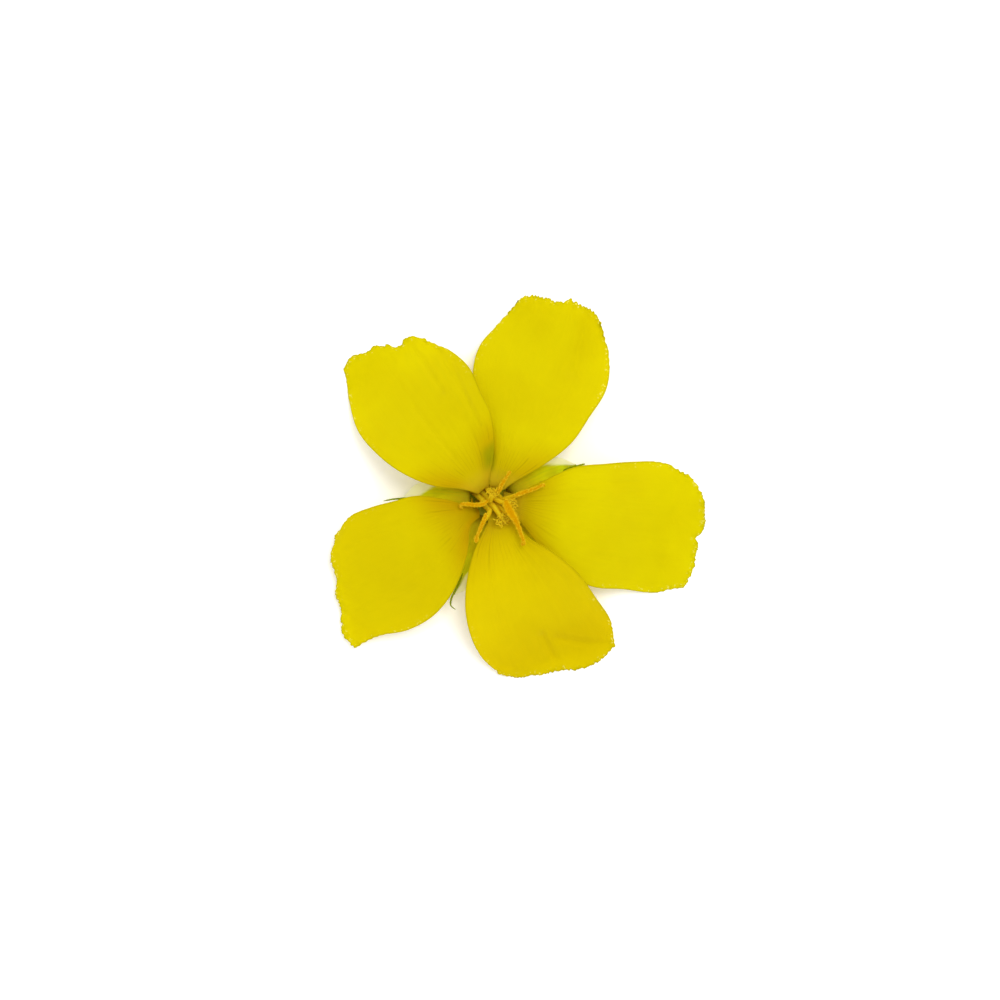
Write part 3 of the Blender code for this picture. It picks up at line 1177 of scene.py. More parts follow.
PETALS = (
    Petal("petal_1", 70.5,
          left=(2.5, 4.8, 7.45, 8.1, 6.85, 5.5), right=(4.4, 7.0, 8.15, 9.03, 8.15, 5.85),
          rim=(26.0, 27.3, 27.5, 27.6, 28.3, 27.95, 26.7),
          tip=1.1, left_lift=-0.7, right_lift=0.2, wave=0.35, wave_turn=0.4,
          finish=PetalFinish("petal 1", vein_depth=0.4, shade=0.45, blush=0.3, claw_painted_light=0.75,
                             painted_show_through_side=Edge.LEFT),
          claw_reach=0.7, nips=(-0.12, 0.0), tooth_depth=0.6,
          nicks=(Nick(-0.13, -0.6, 0.07), Nick(0.17, 0.15, 0.08), Nick(0.38, -0.25, 0.05),
                 Nick(0.52, 0.25, 0.05), Nick(0.86, -0.2, 0.06), Nick(-0.44, 0.3, 0.05)),
          creases=(Crease((10.5, 17.0), (12.6, 24.0), -0.3, 0.8),)),
    Petal("petal_2", -8.0,
          left=(3.3, 5.65, 6.65, 7.5, 7.97, 6.9), right=(4.2, 7.7, 9.05, 8.85, 8.8, 7.55),
          rim=(25.3, 27.25, 27.85, 28.0, 27.55, 27.4, 26.7),
          tip=-0.3, left_lift=0.5, right_lift=-0.75, wave=0.3, wave_turn=2.2,
          finish=PetalFinish("petal 2", middle=(231, 221, 0), vein_depth=0.45, shade=0.65, blush=0.15,
                             tip_painted_light=0.5),
          nips=(0.0, 0.3), tooth_depth=0.4,
          nicks=(Nick(-0.14, 0.75, 0.08), Nick(0.15, -0.35, 0.04))),
    Petal("petal_3", -69.0,
          left=(2.45, 5.1, 7.0, 7.95, 8.75, 8.15), right=(4.4, 6.65, 8.1, 8.7, 8.5, 7.2),
          rim=(23.6, 24.65, 24.7, 23.95, 23.5, 22.85, 21.45),
          tip=-0.9, left_lift=0.95, right_lift=0.3, wave=0.3, wave_turn=1.2,
          finish=PetalFinish("petal 3", middle=(234, 218, 0), vein_depth=0.3, shade=0.35, blush=0.15,
                             claw_painted_light=0.4, painted_shade_band=0.15, painted_shade_band_at=0.67),
          nips=(-0.3, 0.0), tooth_depth=0.35,
          nicks=(Nick(0.13, 0.2, 0.05), Nick(-0.45, 0.2, 0.06)),
          creases=(Crease((8.6, -17.9), (15.7, -19.2), -0.3, 0.6),
                   Crease((6.6, -17.6), (8.9, -22.0), -0.35, 0.55))),
    Petal("petal_4", 210.0,
          left=(4.2, 7.3, 8.9, 8.95, 7.8, 7.6), right=(3.1, 5.3, 6.2, 7.0, 7.35, 6.2),
          rim=(25.25, 25.55, 24.3, 23.65, 22.45, 21.9, 19.9),
          tip=1.0, left_lift=0.3, right_lift=-0.2, wave=0.4, wave_turn=3.0,
          finish=PetalFinish("petal 4", middle=(230, 217, 0), vein_depth=0.38, shade=0.85, blush=0.45,
                             claw_painted_light=0.0, tip_painted_light=0.4, painted_shade_band=0.06, painted_shade_band_at=0.56),
          nips=(1.0, 0.35), tooth_depth=0.35,
          nicks=(Nick(-0.17, 0.35, 0.1), Nick(-0.86, 0.25, 0.06))),
    Petal("petal_5", 127.0,
          left=(4.75, 7.0, 8.12, 8.3, 6.9, 5.0), right=(4.4, 6.4, 7.2, 7.92, 7.25, 5.6),
          rim=(25.5, 26.2, 25.6, 25.45, 23.7, 23.8, 22.3),
          tip=-0.5, left_lift=0.2, right_lift=0.6, wave=0.3, wave_turn=0.9,
          finish=PetalFinish("petal 5", middle=(230, 218, 0), vein_depth=0.27, shade=0.45, claw_painted_light=0.6,
                             tip_painted_light=0.5, tip_from=0.56, painted_show_through_side=Edge.RIGHT),
          claw_reach=0.7, nips=(0.2, -0.12), tooth_depth=0.25,
          nicks=(Nick(-0.24, -0.6, 0.06), Nick(0.17, 0.25, 0.07), Nick(-0.49, 0.35, 0.07),
                 Nick(-0.82, -0.3, 0.08)),
          creases=(Crease((-11.0, 21.1), (-6.4, 14.3), -0.2, 0.4),
                   Crease((-10.1, 12.2), (-4.9, 5.6), -0.12, 0.35),
                   Crease((-7.0, 19.8), (-3.0, 12.5), -0.15, 0.4),
                   Crease((-5.2, 18.0), (-1.6, 10.0), -0.15, 0.35))),
)


@dataclass(frozen=True)
class Sepal:
    """One sepal: where it points, its blade's reach, and its awn's points beyond it.

    The awn's points are outwards and to the left, in mm.
    """

    name: str
    heading: float
    blade: float
    awn: tuple[tuple[float, float], ...]
    pale: float = 0.3
    start: float = 3.35
    root_length: float = 1.3
    root_bend: float = 0.3
    root_narrowing: float = 0.6
    root_inset: float = 0.3
    half_widths: Floats = (1.6, 1.95, 2.3, 2.45, 2.3, 1.65, 0.15)
    foot_height: float = -0.65
    fall: float = 1.9
    fall_power: float = 1.6
    keel: float = 0.4
    keel_power: float = 1.3
    keel_rise: float = 3.0
    keel_end: Span = (1.0, 0.8)
    cad_thickness: float = 0.6
    thickness: float = 0.24
    rows: int = 60
    columns: int = 28
    awn_sunk: float = 1.8
    awn_raised: float = 1.1
    awn_radii: Floats = (0.05, 0.14, 0.13, 0.12, 0.1, 0.05)
    margin_wave: float = 0.12
    wave_density: float = 1.2
    hair_along: Span = (0.05, 0.98)
    hair_across: Span = (-0.95, 0.95)
    hair_aside: Span = (-0.4, 0.4)
    hair_ahead: Span = (0.4, 1.0)
    hair_length: Span = (0.3, 0.6)
    awn_hair_along: Span = (0.25, 0.95)
    awn_hair_ahead: Span = (0.2, 0.8)
    awn_hair_length: Span = (0.2, 0.45)

    def height(self, along: float) -> float:
        """The underside at the midline, in mm from the throat."""
        settled = (self.cad_thickness - self.thickness) * (1 - min(along, 1.0))
        return self.foot_height - self.fall * max(along, 0.0)**self.fall_power + settled

    def surface(self, along: float, across: float) -> BladePoint:
        """Find a point of the sepal's underside, its root included.

        Args:
            along: The place along, from the root's end.
            across: The place across.

        Returns:
            The point.
        """
        whole = self.root_length + self.blade - self.start
        root = max(self.root_length - along * whole, 0.0)
        along = max((along * whole - self.root_length) / (self.blade - self.start), 0.0)
        sunk_share = root / self.root_length
        drawn_in = self.root_bend * math.tanh(root / self.root_bend) + self.root_inset * sunk_share
        distance = self.start + along * (self.blade - self.start) - drawn_in
        aside = across * smooth_through(self.half_widths, along) * (1 - self.root_narrowing * sunk_share)
        plan = heading_vector(self.heading) * distance + heading_vector(self.heading + 90) * aside
        keel = self.keel * abs(across)**self.keel_power * min(along * self.keel_rise, 1)
        keel *= smooth_step(*self.keel_end, along)
        wave = self.margin_wave * noise.noise(plan * self.wave_density + UP * self.heading) * across**2
        sunk = THROAT.leaned(-UP * root**2 / (root + self.root_bend))
        inset = (1 - abs(across)) * smooth_through(self.half_widths, along)
        place = plan + UP * (self.height(along) + keel + wave) + sunk
        return BladePoint(THROAT.world(place), distance - root, inset)

    def awn_point(self, share: float) -> Vector:
        """Find a point of the awn, which starts inside the blade's tip.

        Args:
            share: How far along the awn.

        Returns:
            The point in metres.
        """
        route = ((self.blade - self.awn_sunk, 0.0), (self.blade - self.awn_sunk / 2, 0.0)) + self.awn
        distance = smooth_through(tuple(point[0] for point in route), share)
        aside = smooth_through(tuple(point[1] for point in route), share)
        place = heading_vector(self.heading) * distance + heading_vector(self.heading + 90) * aside
        place.z = self.height((distance - self.start) / (self.blade - self.start))
        place.z += self.thickness * self.awn_raised
        return THROAT.world(place)

    def build(self) -> list[bpy.types.Object]:
        """Build the sepal.

        Returns:
            The blade and its awn.
        """
        blade = add_piece(f"{self.name}_blade", blade_work(self.rows, self.columns, self.surface, 1.0),
                          SepalFinish(self.name, self.pale).material())
        thicken(blade, self.thickness)
        work = bmesh.new()
        Rod(self.awn_point, round_section(self.awn_radii), stations=26, sides=10, up=UP).build(work)
        awn = add_piece(f"{self.name}_awn", close_rods(work), AWN_FINISH.material())
        return [blade, awn]

    def awn_hair_places(self, dice: random.Random, count: int) -> Iterable[Matrix]:
        """Find places for hairs all round the awn.

        Args:
            dice: Where the random draws come from.
            count: How many hairs.

        Yields:
            Each hair's placing.
        """
        for _ in range(count):
            share = dice.uniform(*self.awn_hair_along)
            turn = dice.uniform(0.0, math.tau)
            outward = heading_vector(self.heading) * dice.uniform(*self.awn_hair_ahead)
            sideways = heading_vector(self.heading + 90)
            direction = outward + sideways * math.cos(turn) + UP * math.sin(turn)
            yield aimed(self.awn_point(share), direction, dice.uniform(*self.awn_hair_length), turn)

    def hair_places(self, dice: random.Random, count: int) -> Iterable[Matrix]:
        """Find places for hairs on the underside, which lie towards the tip.

        Args:
            dice: Where the random draws come from.
            count: How many hairs.

        Yields:
            Each hair's placing.
        """
        for _ in range(count):
            along = dice.uniform(*self.hair_along)
            across = dice.uniform(*self.hair_across)
            root = self.surface(along, across).place
            sideways = heading_vector(self.heading + 90) * dice.uniform(*self.hair_aside)
            direction = heading_vector(self.heading) * dice.uniform(*self.hair_ahead) + sideways - UP
            yield aimed(root, direction, dice.uniform(*self.hair_length), dice.uniform(0.0, math.tau))


@dataclass(frozen=True)
class Calyx:
    """The tube, its five sepals and the down that covers it outside."""

    radii: Floats = (3.75, 3.45, 3.0, 2.55, 2.1, 1.7)
    depth: float = 5.0
    wall: float = 0.3
    floor: float = 4.9
    rim_steps: int = 6
    rim_depth: float = 0.35
    rim_height: float = 0.15
    wall_steps: int = 24
    stub_radius: float = 0.95
    stub_shoulder: float = 5.3
    stub_end: float = 5.5
    stub_hollow: float = 0.06
    stub_rim: float = 0.6
    seam: float = 0.001
    turn_steps: int = 120
    ribs: int = 10
    rib_depth: float = 0.07
    rib_start: Span = (0.2, 1.5)
    rib_radius: Span = (0.9, 1.4)
    hair_depth: Span = (0.3, 4.9)
    hair_length: Span = (0.3, 0.6)
    hair_sway: float = 25.0
    hair_lift: Span = (-0.3, 0.7)
    tube_hairs: int = 900
    sepal_hairs: int = 260
    awn_hairs: int = 60
    hair_width: float = 0.045
    hair_bend: float = 0.3
    seed: int = 23

    def sepals(self) -> tuple[Sepal, ...]:
        """List the five sepals, clockwise from the far right one.

        Returns:
            The sepals, not built yet.
        """
        return (
            Sepal("sepal_1", 23.0, 11.9, ((12.5, -0.2), (13.1, -0.3)), pale=0.18),
            Sepal("sepal_2", 317.0, 11.8, ((12.6, 0.0), (13.6, -0.2))),
            Sepal("sepal_3", 248.0, 13.2, ((13.4, -0.15), (14.1, -0.1), (14.7, 0.15), (14.95, 0.9)),
                  awn_sunk=3.0),
            Sepal("sepal_4", 178.0, 11.6, ((12.8, 0.2), (14.2, 0.5)), pale=0.4),
            Sepal("sepal_5", 98.0, 11.8, ((12.6, 0.0), (13.6, 0.2))),
        )

    def outer(self, turn: float, depth: float) -> Vector:
        """Find a point on the outside of the tube.

        Args:
            turn: The angle round the tube.
            depth: The depth in mm below the throat.

        Returns:
            The point in mm from the throat.
        """
        rib = self.rib_depth * math.cos(self.ribs * turn) * smooth_step(0.0, self.rib_start[1], depth)
        radius = smooth_through(self.radii, depth / self.depth) * (1 + rib / self.radii[0])
        return THROAT.column(math.degrees(turn), radius, -depth)

    def profile(self) -> list[Vector]:
        """Draw the tube's section: out over its floor, up inside, over the rim and down outside.

        Returns:
            The section's corners in mm, from the axis back to it.
        """
        depths = [self.floor * step / self.wall_steps for step in range(self.wall_steps, 1, -1)]
        wall = [Vector((smooth_through(self.radii, depth / self.depth), 0, -depth)) for depth in depths]
        inside = [corner - Vector((self.wall, 0, 0)) for corner in wall]
        middle = self.radii[0] - self.wall / 2
        angles = [math.pi * step / self.rim_steps for step in range(self.rim_steps + 1)]
        rim = [Vector((middle - self.wall / 2 * math.cos(angle), 0,
                       self.rim_height * math.sin(angle) - self.rim_depth)) for angle in angles]
        cut = self.stub_hollow - self.stub_end
        stub = [Vector((self.stub_radius, 0, -self.stub_shoulder)),
                Vector((self.stub_radius, 0, -self.stub_end)),
                Vector((self.stub_radius * self.stub_rim, 0, cut)),
                Vector((0, 0, cut))]
        return [Vector((0, 0, -self.floor))] + inside + rim + wall[::-1] + stub

    def tube(self) -> bpy.types.Object:
        """Build the tube with its cut stub: a turned profile, ribbed and leaned over.

        Returns:
            The tube.
        """
        work = bmesh.new()
        corners = [work.verts.new(point) for point in self.profile()]
        lines = [work.edges.new(pair) for pair in zip(corners, corners[1:])]
        bmesh.ops.spin(work, geom=corners + lines, axis=UP, angle=math.tau, steps=self.turn_steps,
                       use_merge=True)
        bmesh.ops.remove_doubles(work, verts=work.verts, dist=self.seam)
        bmesh.ops.recalc_face_normals(work, faces=work.faces)
        for corner in work.verts:
            turn = math.atan2(corner.co.y, corner.co.x)
            rib = self.rib_depth * math.cos(self.ribs * turn) * smooth_step(*self.rib_start, -corner.co.z)
            rib *= smooth_step(*self.rib_radius, math.hypot(corner.co.x, corner.co.y))
            ribbed = corner.co + heading_vector(math.degrees(turn)) * rib
            corner.co = THROAT.world(THROAT.leaned(ribbed))
        return add_piece("calyx_tube", work, CALYX_TUBE_FINISH.material())

    def tube_hair_places(self, dice: random.Random) -> Iterable[Matrix]:
        """Find places for hairs on the outside of the tube.

        Args:
            dice: Where the random draws come from.

        Yields:
            Each hair's placing.
        """
        for _ in range(self.tube_hairs):
            turn = dice.uniform(0.0, math.tau)
            depth = dice.uniform(*self.hair_depth)
            root = THROAT.world(self.outer(turn, depth))
            heading = math.degrees(turn) + dice.uniform(-self.hair_sway, self.hair_sway)
            direction = heading_vector(heading) + UP * dice.uniform(*self.hair_lift)
            yield aimed(root, direction, dice.uniform(*self.hair_length), dice.uniform(0.0, math.tau))

    def hairs(self) -> bpy.types.Object:
        """Build the down on the tube, under the sepals and on their awns.

        Returns:
            The hairs, as one piece.
        """
        dice = random.Random(self.seed)
        places = list(self.tube_hair_places(dice))
        for sepal in self.sepals():
            places += sepal.hair_places(dice, self.sepal_hairs)
            places += sepal.awn_hair_places(dice, self.awn_hairs)
        return add_piece("calyx_hairs", planted(hair_template(self.hair_width, self.hair_bend), places),
                         CALYX_HAIR_FINISH.material())

    def build(self) -> list[bpy.types.Object]:
        """Build the calyx.

        Returns:
            Every piece of it.
        """
        pieces = [self.tube(), self.hairs()]
        for sepal in self.sepals():
            pieces += sepal.build()
        return [settle(piece, "calyx", Slot.CALYX) for piece in pieces]


@dataclass(frozen=True)
class Stalk:
    """The line of a filament or style: up the leaning column, then away to its tip."""

    heading: float
    spread: Floats
    root: float
    tip: Vector
    splay_from: float = 0.3
    splay_power: float = 1.2

    def point(self, share: float) -> Vector:
        """Find a point of the stalk.

        Args:
            share: How far along the stalk.

        Returns:
            The point in metres.
        """
        over = THROAT.column(self.heading, self.spread[-1], self.tip.z)
        height = self.root + share * (self.tip.z - self.root)
        splay = max(height - self.splay_from, 0) / (self.tip.z - self.splay_from)
        place = THROAT.column(self.heading, smooth_through(self.spread, share), height)
        return THROAT.world(place + (self.tip - over) * splay**self.splay_power)


@dataclass(frozen=True)
class Stamen:
    """One stamen: a filament, and an anther of two long lobes that is dusted with pollen."""

    number: int
    heading: float
    anther: tuple[tuple[float, float, float], ...]
    filament_root: float = -2.6
    filament_spread: Floats = (1.55, 1.2, 1.15, 1.2)
    filament_radii: Floats = (0.32, 0.35, 0.35, 0.32, 0.22)
    anther_seat: float = 0.3
    anther_gap: float = 0.2
    half_widths: Floats = (0.16, 0.25, 0.29, 0.28, 0.26, 0.24, 0.21, 0.18, 0.24, 0.2)
    flatness: float = 0.62
    end_power: int = 14
    end_least: float = 0.02
    groove: float = 0.3
    groove_power: int = 6
    beads: float = 0.5
    bead_length: float = 0.032
    bead_density: float = 1.6
    stations: int = 60
    sides: int = 28
    grains: int = 220
    grain_radius: float = 0.06
    grain_sizes: Span = (0.7, 1.2)

    def anther_point(self, share: float) -> Vector:
        """A point in mm from the throat along the anther."""
        return Vector([smooth_through(values, share) for values in zip(*self.anther)])

    def anther_section(self, angle: float, share: float) -> tuple[float, float]:
        """Draw two rounded lobes side by side, with beaded skins and a groove between them.

        Args:
            angle: The angle round the anther.
            share: How far along it.

        Returns:
            The offsets in mm, sideways and up.
        """
        ends = math.sqrt(max(1 - (2 * share - 1)**self.end_power, self.end_least**2))
        groove = 1 - self.groove * abs(math.sin(angle))**self.groove_power
        skin = Vector((math.cos(angle), math.sin(angle), share / self.bead_length)) * self.bead_density
        beaded = 1 + self.beads * noise.noise(skin)
        radius = smooth_through(self.half_widths, share) * ends * groove * beaded
        return math.cos(angle) * radius, math.sin(angle) * radius * self.flatness

    def anther_rod(self) -> Rod:
        """The anther's form."""
        return Rod(lambda share: THROAT.world(self.anther_point(share)), self.anther_section,
                   self.stations, self.sides, UP)

    def pollen(self) -> bmesh.types.BMesh:
        """Scatter grains over the anther.

        Returns:
            One bmesh that holds them.
        """
        dice = random.Random(self.number)
        grain = bmesh.new()
        bmesh.ops.create_icosphere(grain, subdivisions=1, radius=1.0)
        template = bpy.data.meshes.new("grain")
        grain.to_mesh(template)
        grain.free()
        template.shade_smooth()
        frames = self.anther_rod().frames()
        places = []
        for _ in range(self.grains):
            station = dice.randrange(2, self.stations - 1)
            centre, sideways, up = frames[station]
            angle = dice.uniform(0.0, math.tau)
            aside, above = self.anther_section(angle, station / (self.stations - 1))
            root = centre + (sideways * aside + up * above) * MM
            size = self.grain_radius * dice.uniform(*self.grain_sizes)
            places.append(aimed(root, sideways * math.cos(angle) + up * math.sin(angle), size, angle))
        return planted(template, places)

    def build(self) -> list[bpy.types.Object]:
        """Build the stamen.

        Returns:
            The filament, the anther and its pollen.
        """
        top = self.anther_point(self.anther_seat) - UP * self.anther_gap
        stalk = Stalk(self.heading, self.filament_spread, self.filament_root, top)
        work = bmesh.new()
        Rod(stalk.point, round_section(self.filament_radii), STALK_STATIONS, STALK_SIDES,
            SIDEWAYS).build(work)
        filament = add_piece(f"filament_{self.number}_stalk", close_rods(work), FILAMENT_FINISH.material())
        work = bmesh.new()
        self.anther_rod().build(work)
        anther = add_piece(f"anther_{self.number}_lobes", close_rods(work), ANTHER_FINISH.material())
        pollen = add_piece(f"anther_{self.number}_pollen", self.pollen(), POLLEN_FINISH.material())
        return [
            settle(filament, f"filament_{self.number}", Slot.FILAMENT),
            settle(anther, f"anther_{self.number}", Slot.ANTHER),
            settle(pollen, f"anther_{self.number}", Slot.ANTHER),
        ]


STAMENS = (
    Stamen(1, 98.0, anther=((0.66, 0.85, 2.1), (0.99, 1.5, 2.4), (1.31, 2.16, 2.6), (1.71, 2.82, 2.8),
                            (2.1, 3.41, 2.9), (2.37, 3.9, 2.8))),
    Stamen(2, 20.0, anther=((2.76, 0.65, 3.0), (3.5, 0.92, 3.15), (4.33, 1.18, 3.3), (5.12, 1.44, 3.4),
                            (5.9, 1.74, 3.5), (6.55, 2.05, 3.5), (6.8, 1.9, 3.35))),
    Stamen(3, 321.0, anther=((1.75, 0.1, 3.4), (2.1, -0.9, 3.6), (2.75, -2.0, 3.7), (3.35, -3.1, 3.8),
                             (3.65, -4.0, 3.8), (4.0, -4.85, 3.8), (4.08, -5.4, 3.65), (3.8, -5.7, 3.4)),
           half_widths=(0.42, 0.56, 0.56, 0.44, 0.33, 0.29, 0.24, 0.22, 0.28, 0.2)),
    Stamen(4, 248.0, anther=((-0.75, -1.5, 2.4), (-0.98, -2.36, 2.6), (-1.37, -3.28, 2.8),
                             (-1.7, -4.07, 2.9), (-1.96, -4.73, 2.9), (-2.05, -5.4, 2.8)),
           half_widths=(0.15, 0.25, 0.28, 0.28, 0.26, 0.23, 0.2, 0.26, 0.3, 0.2)),
    Stamen(5, 178.0, anther=((-0.5, 0.1, 2.3), (-1.1, -0.4, 2.4), (-2.2, -0.5, 2.4), (-3.2, -0.4, 2.4),
                             (-3.85, -0.42, 2.35), (-4.1, -0.7, 2.15), (-3.85, -0.95, 1.95))),
)


@dataclass(frozen=True)
class Style:
    """One style, and the brush of fingers that is its stigma."""

    number: int
    heading: float
    tip: tuple[float, float, float]
    root: float = -2.15
    spread: Floats = (0.5, 0.5, 0.5)
    radii: Floats = (0.34, 0.36, 0.37, 0.35, 0.3)
    brush_from: float = 0.82
    brush_overlap: float = 0.03
    brush_seed: int = 40
    branches: int = 16
    forks: int = 3
    branch_length: float = 0.75
    branch_spread: float = 1.1
    tip_length: float = 0.5
    tip_spread: float = 0.9
    branch_radii: Floats = (0.12, 0.1, 0.09, 0.07)
    tip_radii: Floats = (0.07, 0.06, 0.06, 0.08, 0.05)
    branch_sizes: Span = (0.8, 1.2)
    branch_sway: Span = (-0.4, 0.4)
    tip_from: Span = (0.7, 0.95)
    tip_sizes: Span = (0.7, 1.2)
    tip_turn: Span = (-0.5, 0.5)
    tip_sway: Span = (-0.6, 0.6)
    curl: float = 0.4
    bow: float = 0.3

    def finger(self, foot: Vector, ahead: Vector, outward: Vector, length: float, lean: float,
               radii: Floats, sway: float) -> Rod:
        """One finger of the brush, which bends outwards.

        Args:
            foot: Where it starts, in metres.
            ahead: The way that the brush points there.
            outward: The way that it leans.
            length: Its length in mm.
            lean: How far it leans, as a share of its length.
            radii: Its radii in mm along its length.
            sway: How far it sways aside, as a share of its length.

        Returns:
            The finger's form.
        """
        aside = ahead.cross(outward)

        def line(share: float) -> Vector:
            """Find a point along the finger.

            Args:
                share: How far along it.

            Returns:
                The point in metres.
            """
            curled = share * (1 - self.curl + self.curl * share)
            bent = outward * lean * curled + aside * sway * math.sin(math.pi * share)
            return foot + (ahead * share * (1 - self.bow * share * lean) + bent) * length * MM

        return Rod(line, round_section(radii), stations=6, sides=5, up=outward)

    def fan(self, ahead: Vector, turn: float) -> Vector:
        """A unit vector square to another, turned about it."""
        sideways = ahead.orthogonal().normalized()
        return sideways * math.cos(turn) + ahead.cross(sideways) * math.sin(turn)

    def brush(self, work: bmesh.types.BMesh, foot: Vector, ahead: Vector) -> None:
        """Add the stigma: branches that spread like a fan, each forked at its end.

        Args:
            work: The bmesh to add to.
            foot: Where the brush starts, in metres.
            ahead: The way that the style points there.
        """
        dice = random.Random(self.brush_seed + self.number)
        for number in range(self.branches):
            outward = self.fan(ahead, number * GOLDEN_TURN)
            lean = self.branch_spread * math.sqrt((number + 0.5) / self.branches)
            length = self.branch_length * dice.uniform(*self.branch_sizes)
            branch = self.finger(foot, ahead, outward, length, lean, self.branch_radii,
                                 dice.uniform(*self.branch_sway))
            branch.build(work)
            before, end = (branch.line(share) for share in self.tip_from)
            onward = (branch.line(1.0) - before).normalized()
            for fork in range(self.forks):
                side = self.fan(onward, fork * math.tau / self.forks + dice.uniform(*self.tip_turn))
                length = self.tip_length * dice.uniform(*self.tip_sizes)
                self.finger(end, onward, side, length, self.tip_spread, self.tip_radii,
                            dice.uniform(*self.tip_sway)).build(work)

    def build(self) -> list[bpy.types.Object]:
        """Build the style.

        Returns:
            Its stalk and its brush.
        """
        stalk = Stalk(self.heading, self.spread, self.root, Vector(self.tip))
        work = bmesh.new()
        Rod(lambda share: stalk.point(share * (self.brush_from + self.brush_overlap)),
            round_section(self.radii), STALK_STATIONS, STALK_SIDES, SIDEWAYS).build(work)
        column = add_piece(f"style_{self.number}_stalk", close_rods(work), STYLE_FINISH.material())
        foot = stalk.point(self.brush_from)
        work = bmesh.new()
        self.brush(work, foot, (stalk.point(1.0) - foot).normalized())
        brush = add_piece(f"style_{self.number}_brush", close_rods(work), STIGMA_FINISH.material())
        return [settle(piece, f"style_{self.number}", Slot.STYLE) for piece in (column, brush)]


STYLES = (
    Style(1, 50.0, (3.0, -0.8, 2.9), radii=(0.33, 0.3, 0.29, 0.31, 0.3)),
    Style(2, 147.0, (0.1, 1.5, 3.4), radii=(0.34, 0.36, 0.35, 0.27, 0.16), branch_length=0.6,
          tip_length=0.35, branch_radii=(0.07, 0.06, 0.05, 0.04),
          tip_radii=(0.04, 0.035, 0.035, 0.05, 0.03)),
    Style(3, 275.0, (1.8, -2.9, 2.7)),
)


@dataclass(frozen=True)
class Ovary:
    """The three-lobed ovary on the tube's floor."""

    centre: float = 3.6
    radius: float = 1.0
    half_height: float = 1.2
    lobes: int = 3
    lobe_depth: float = 0.06
    sides: int = 48
    bands: int = 32
    hairs: int = 160
    hair_length: Span = (0.132, 0.22)
    hair_heights: Span = (-0.5, 0.75)
    hair_width: float = 0.08
    hair_bend: float = 0.2
    seed: int = 5

    def point(self, unit: Vector) -> Vector:
        """Shape the ovary out of a ball.

        Args:
            unit: A point of the unit sphere.

        Returns:
            The point in metres that it goes to.
        """
        turn = math.atan2(unit.y, unit.x)
        radius = self.radius * (1 + self.lobe_depth * math.cos(self.lobes * turn))
        place = Vector((unit.x * radius, unit.y * radius, unit.z * self.half_height - self.centre))
        return THROAT.world(THROAT.leaned(place))

    def build(self) -> list[bpy.types.Object]:
        """Build the ovary.

        Returns:
            Its body and its short hairs.
        """
        work = bmesh.new()
        bmesh.ops.create_uvsphere(work, u_segments=self.sides, v_segments=self.bands, radius=1.0)
        for corner in work.verts:
            corner.co = self.point(corner.co)
        body = add_piece("ovary_body", work, OVARY_FINISH.material())
        dice = random.Random(self.seed)
        places = []
        for _ in range(self.hairs):
            height = dice.uniform(*self.hair_heights)
            turn = dice.uniform(0.0, math.tau)
            unit = heading_vector(math.degrees(turn)) * math.sqrt(1 - height**2) + UP * height
            places.append(aimed(self.point(unit), unit + UP, dice.uniform(*self.hair_length), turn))
        hair = hair_template(self.hair_width, self.hair_bend)
        hairs = add_piece("ovary_hairs", planted(hair, places), CALYX_HAIR_FINISH.material())
        return [settle(piece, "ovary", Slot.OVARY) for piece in (body, hairs)]


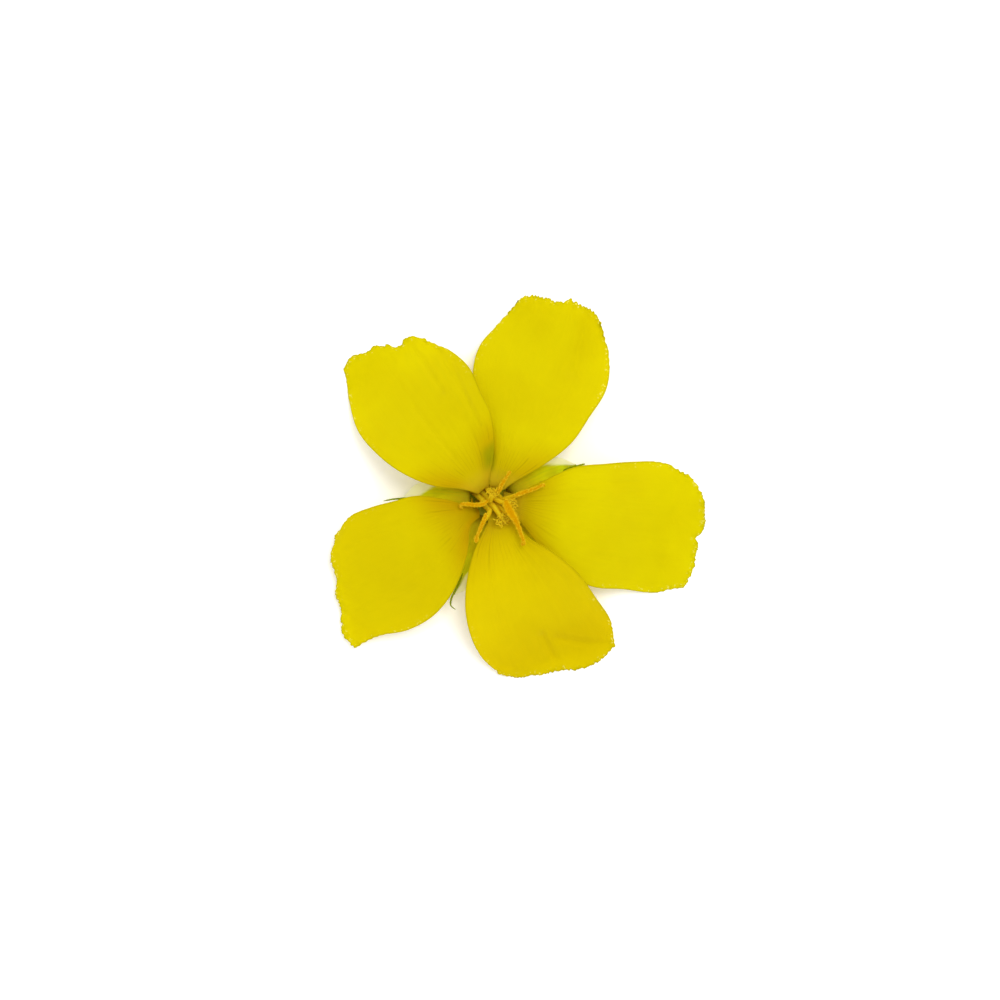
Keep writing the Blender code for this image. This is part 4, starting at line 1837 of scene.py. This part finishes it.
@dataclass(frozen=True)
class Studio:
    """A pale floor, soft light from the far right, and a camera that looks straight down."""

    floor_size: float = 4000.0
    floor_colour: float = 0.95
    floor_glow: float = 0.15
    floor_roughness: float = 0.9
    dome_light: float = 1.0
    key_power: float = 1.0
    key_size: float = 200.0
    key_place: tuple[float, float, float] = (95.0, 115.0, 450.0)
    view_centre: tuple[float, float] = (-2.43, -1.77)
    view_width: float = 131.2
    view_height: float = 1.0
    camera_distance: float = 600.0
    sensor: float = 36.0

    def floor(self) -> None:
        """The floor, at the height of the flower's lowest points."""
        work = bmesh.new()
        bmesh.ops.create_grid(work, x_segments=1, y_segments=1, size=self.floor_size * MM / 2)
        paper = NodeWork("floor", self.floor_roughness, 0.0)
        paper.shader.inputs["Emission Color"].default_value = (1.0, 1.0, 1.0, 1.0)
        paper.shader.inputs["Emission Strength"].default_value = self.floor_glow
        floor = add_piece("floor", work, paper.colour((*[self.floor_colour] * 3, 1.0)))

    def light(self) -> None:
        """A white dome and one large lamp."""
        world = bpy.data.worlds.new("studio")
        world.use_nodes = True
        dome = world.node_tree.nodes["Background"]
        dome.inputs["Color"].default_value = (1.0, 1.0, 1.0, 1.0)
        dome.inputs["Strength"].default_value = self.dome_light
        bpy.context.scene.world = world
        lamp = bpy.data.lights.new("key", "AREA")
        lamp.shape = "DISK"
        lamp.size = self.key_size * MM
        lamp.energy = self.key_power
        key = bpy.data.objects.new("key", lamp)
        key.location = Vector(self.key_place) * MM
        key.rotation_euler = key.location.to_track_quat("Z", "Y").to_euler()
        bpy.context.scene.collection.objects.link(key)

    def camera(self) -> None:
        """The camera, straight above, with the photograph's frame."""
        lens = bpy.data.cameras.new("camera")
        lens.sensor_width = self.sensor
        lens.lens = self.sensor * self.camera_distance / self.view_width
        lens.clip_end = 10.0
        camera = bpy.data.objects.new("camera", lens)
        camera.location = Vector((*self.view_centre, self.view_height + self.camera_distance)) * MM
        bpy.context.scene.collection.objects.link(camera)
        bpy.context.scene.camera = camera

    def build(self) -> None:
        """Set the whole stage."""
        self.floor()
        self.light()
        self.camera()
        bpy.context.scene.view_settings.view_transform = "Standard"


def main() -> None:
    """Build the flower piece by piece, and the studio round it."""
    logging.basicConfig(level=logging.INFO, format="%(name)s: %(message)s")
    pieces = [petal.build() for petal in PETALS]
    pieces += Calyx().build()
    pieces += Ovary().build()
    for part in STYLES + STAMENS:
        pieces += part.build()
    for piece in pieces:
        stands_for = list(piece["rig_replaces"])
        LOG.info("%s stands for %s, %d faces", piece.name, stands_for, len(piece.data.polygons))
    Studio().build()


if __name__ == "__main__":
    main()
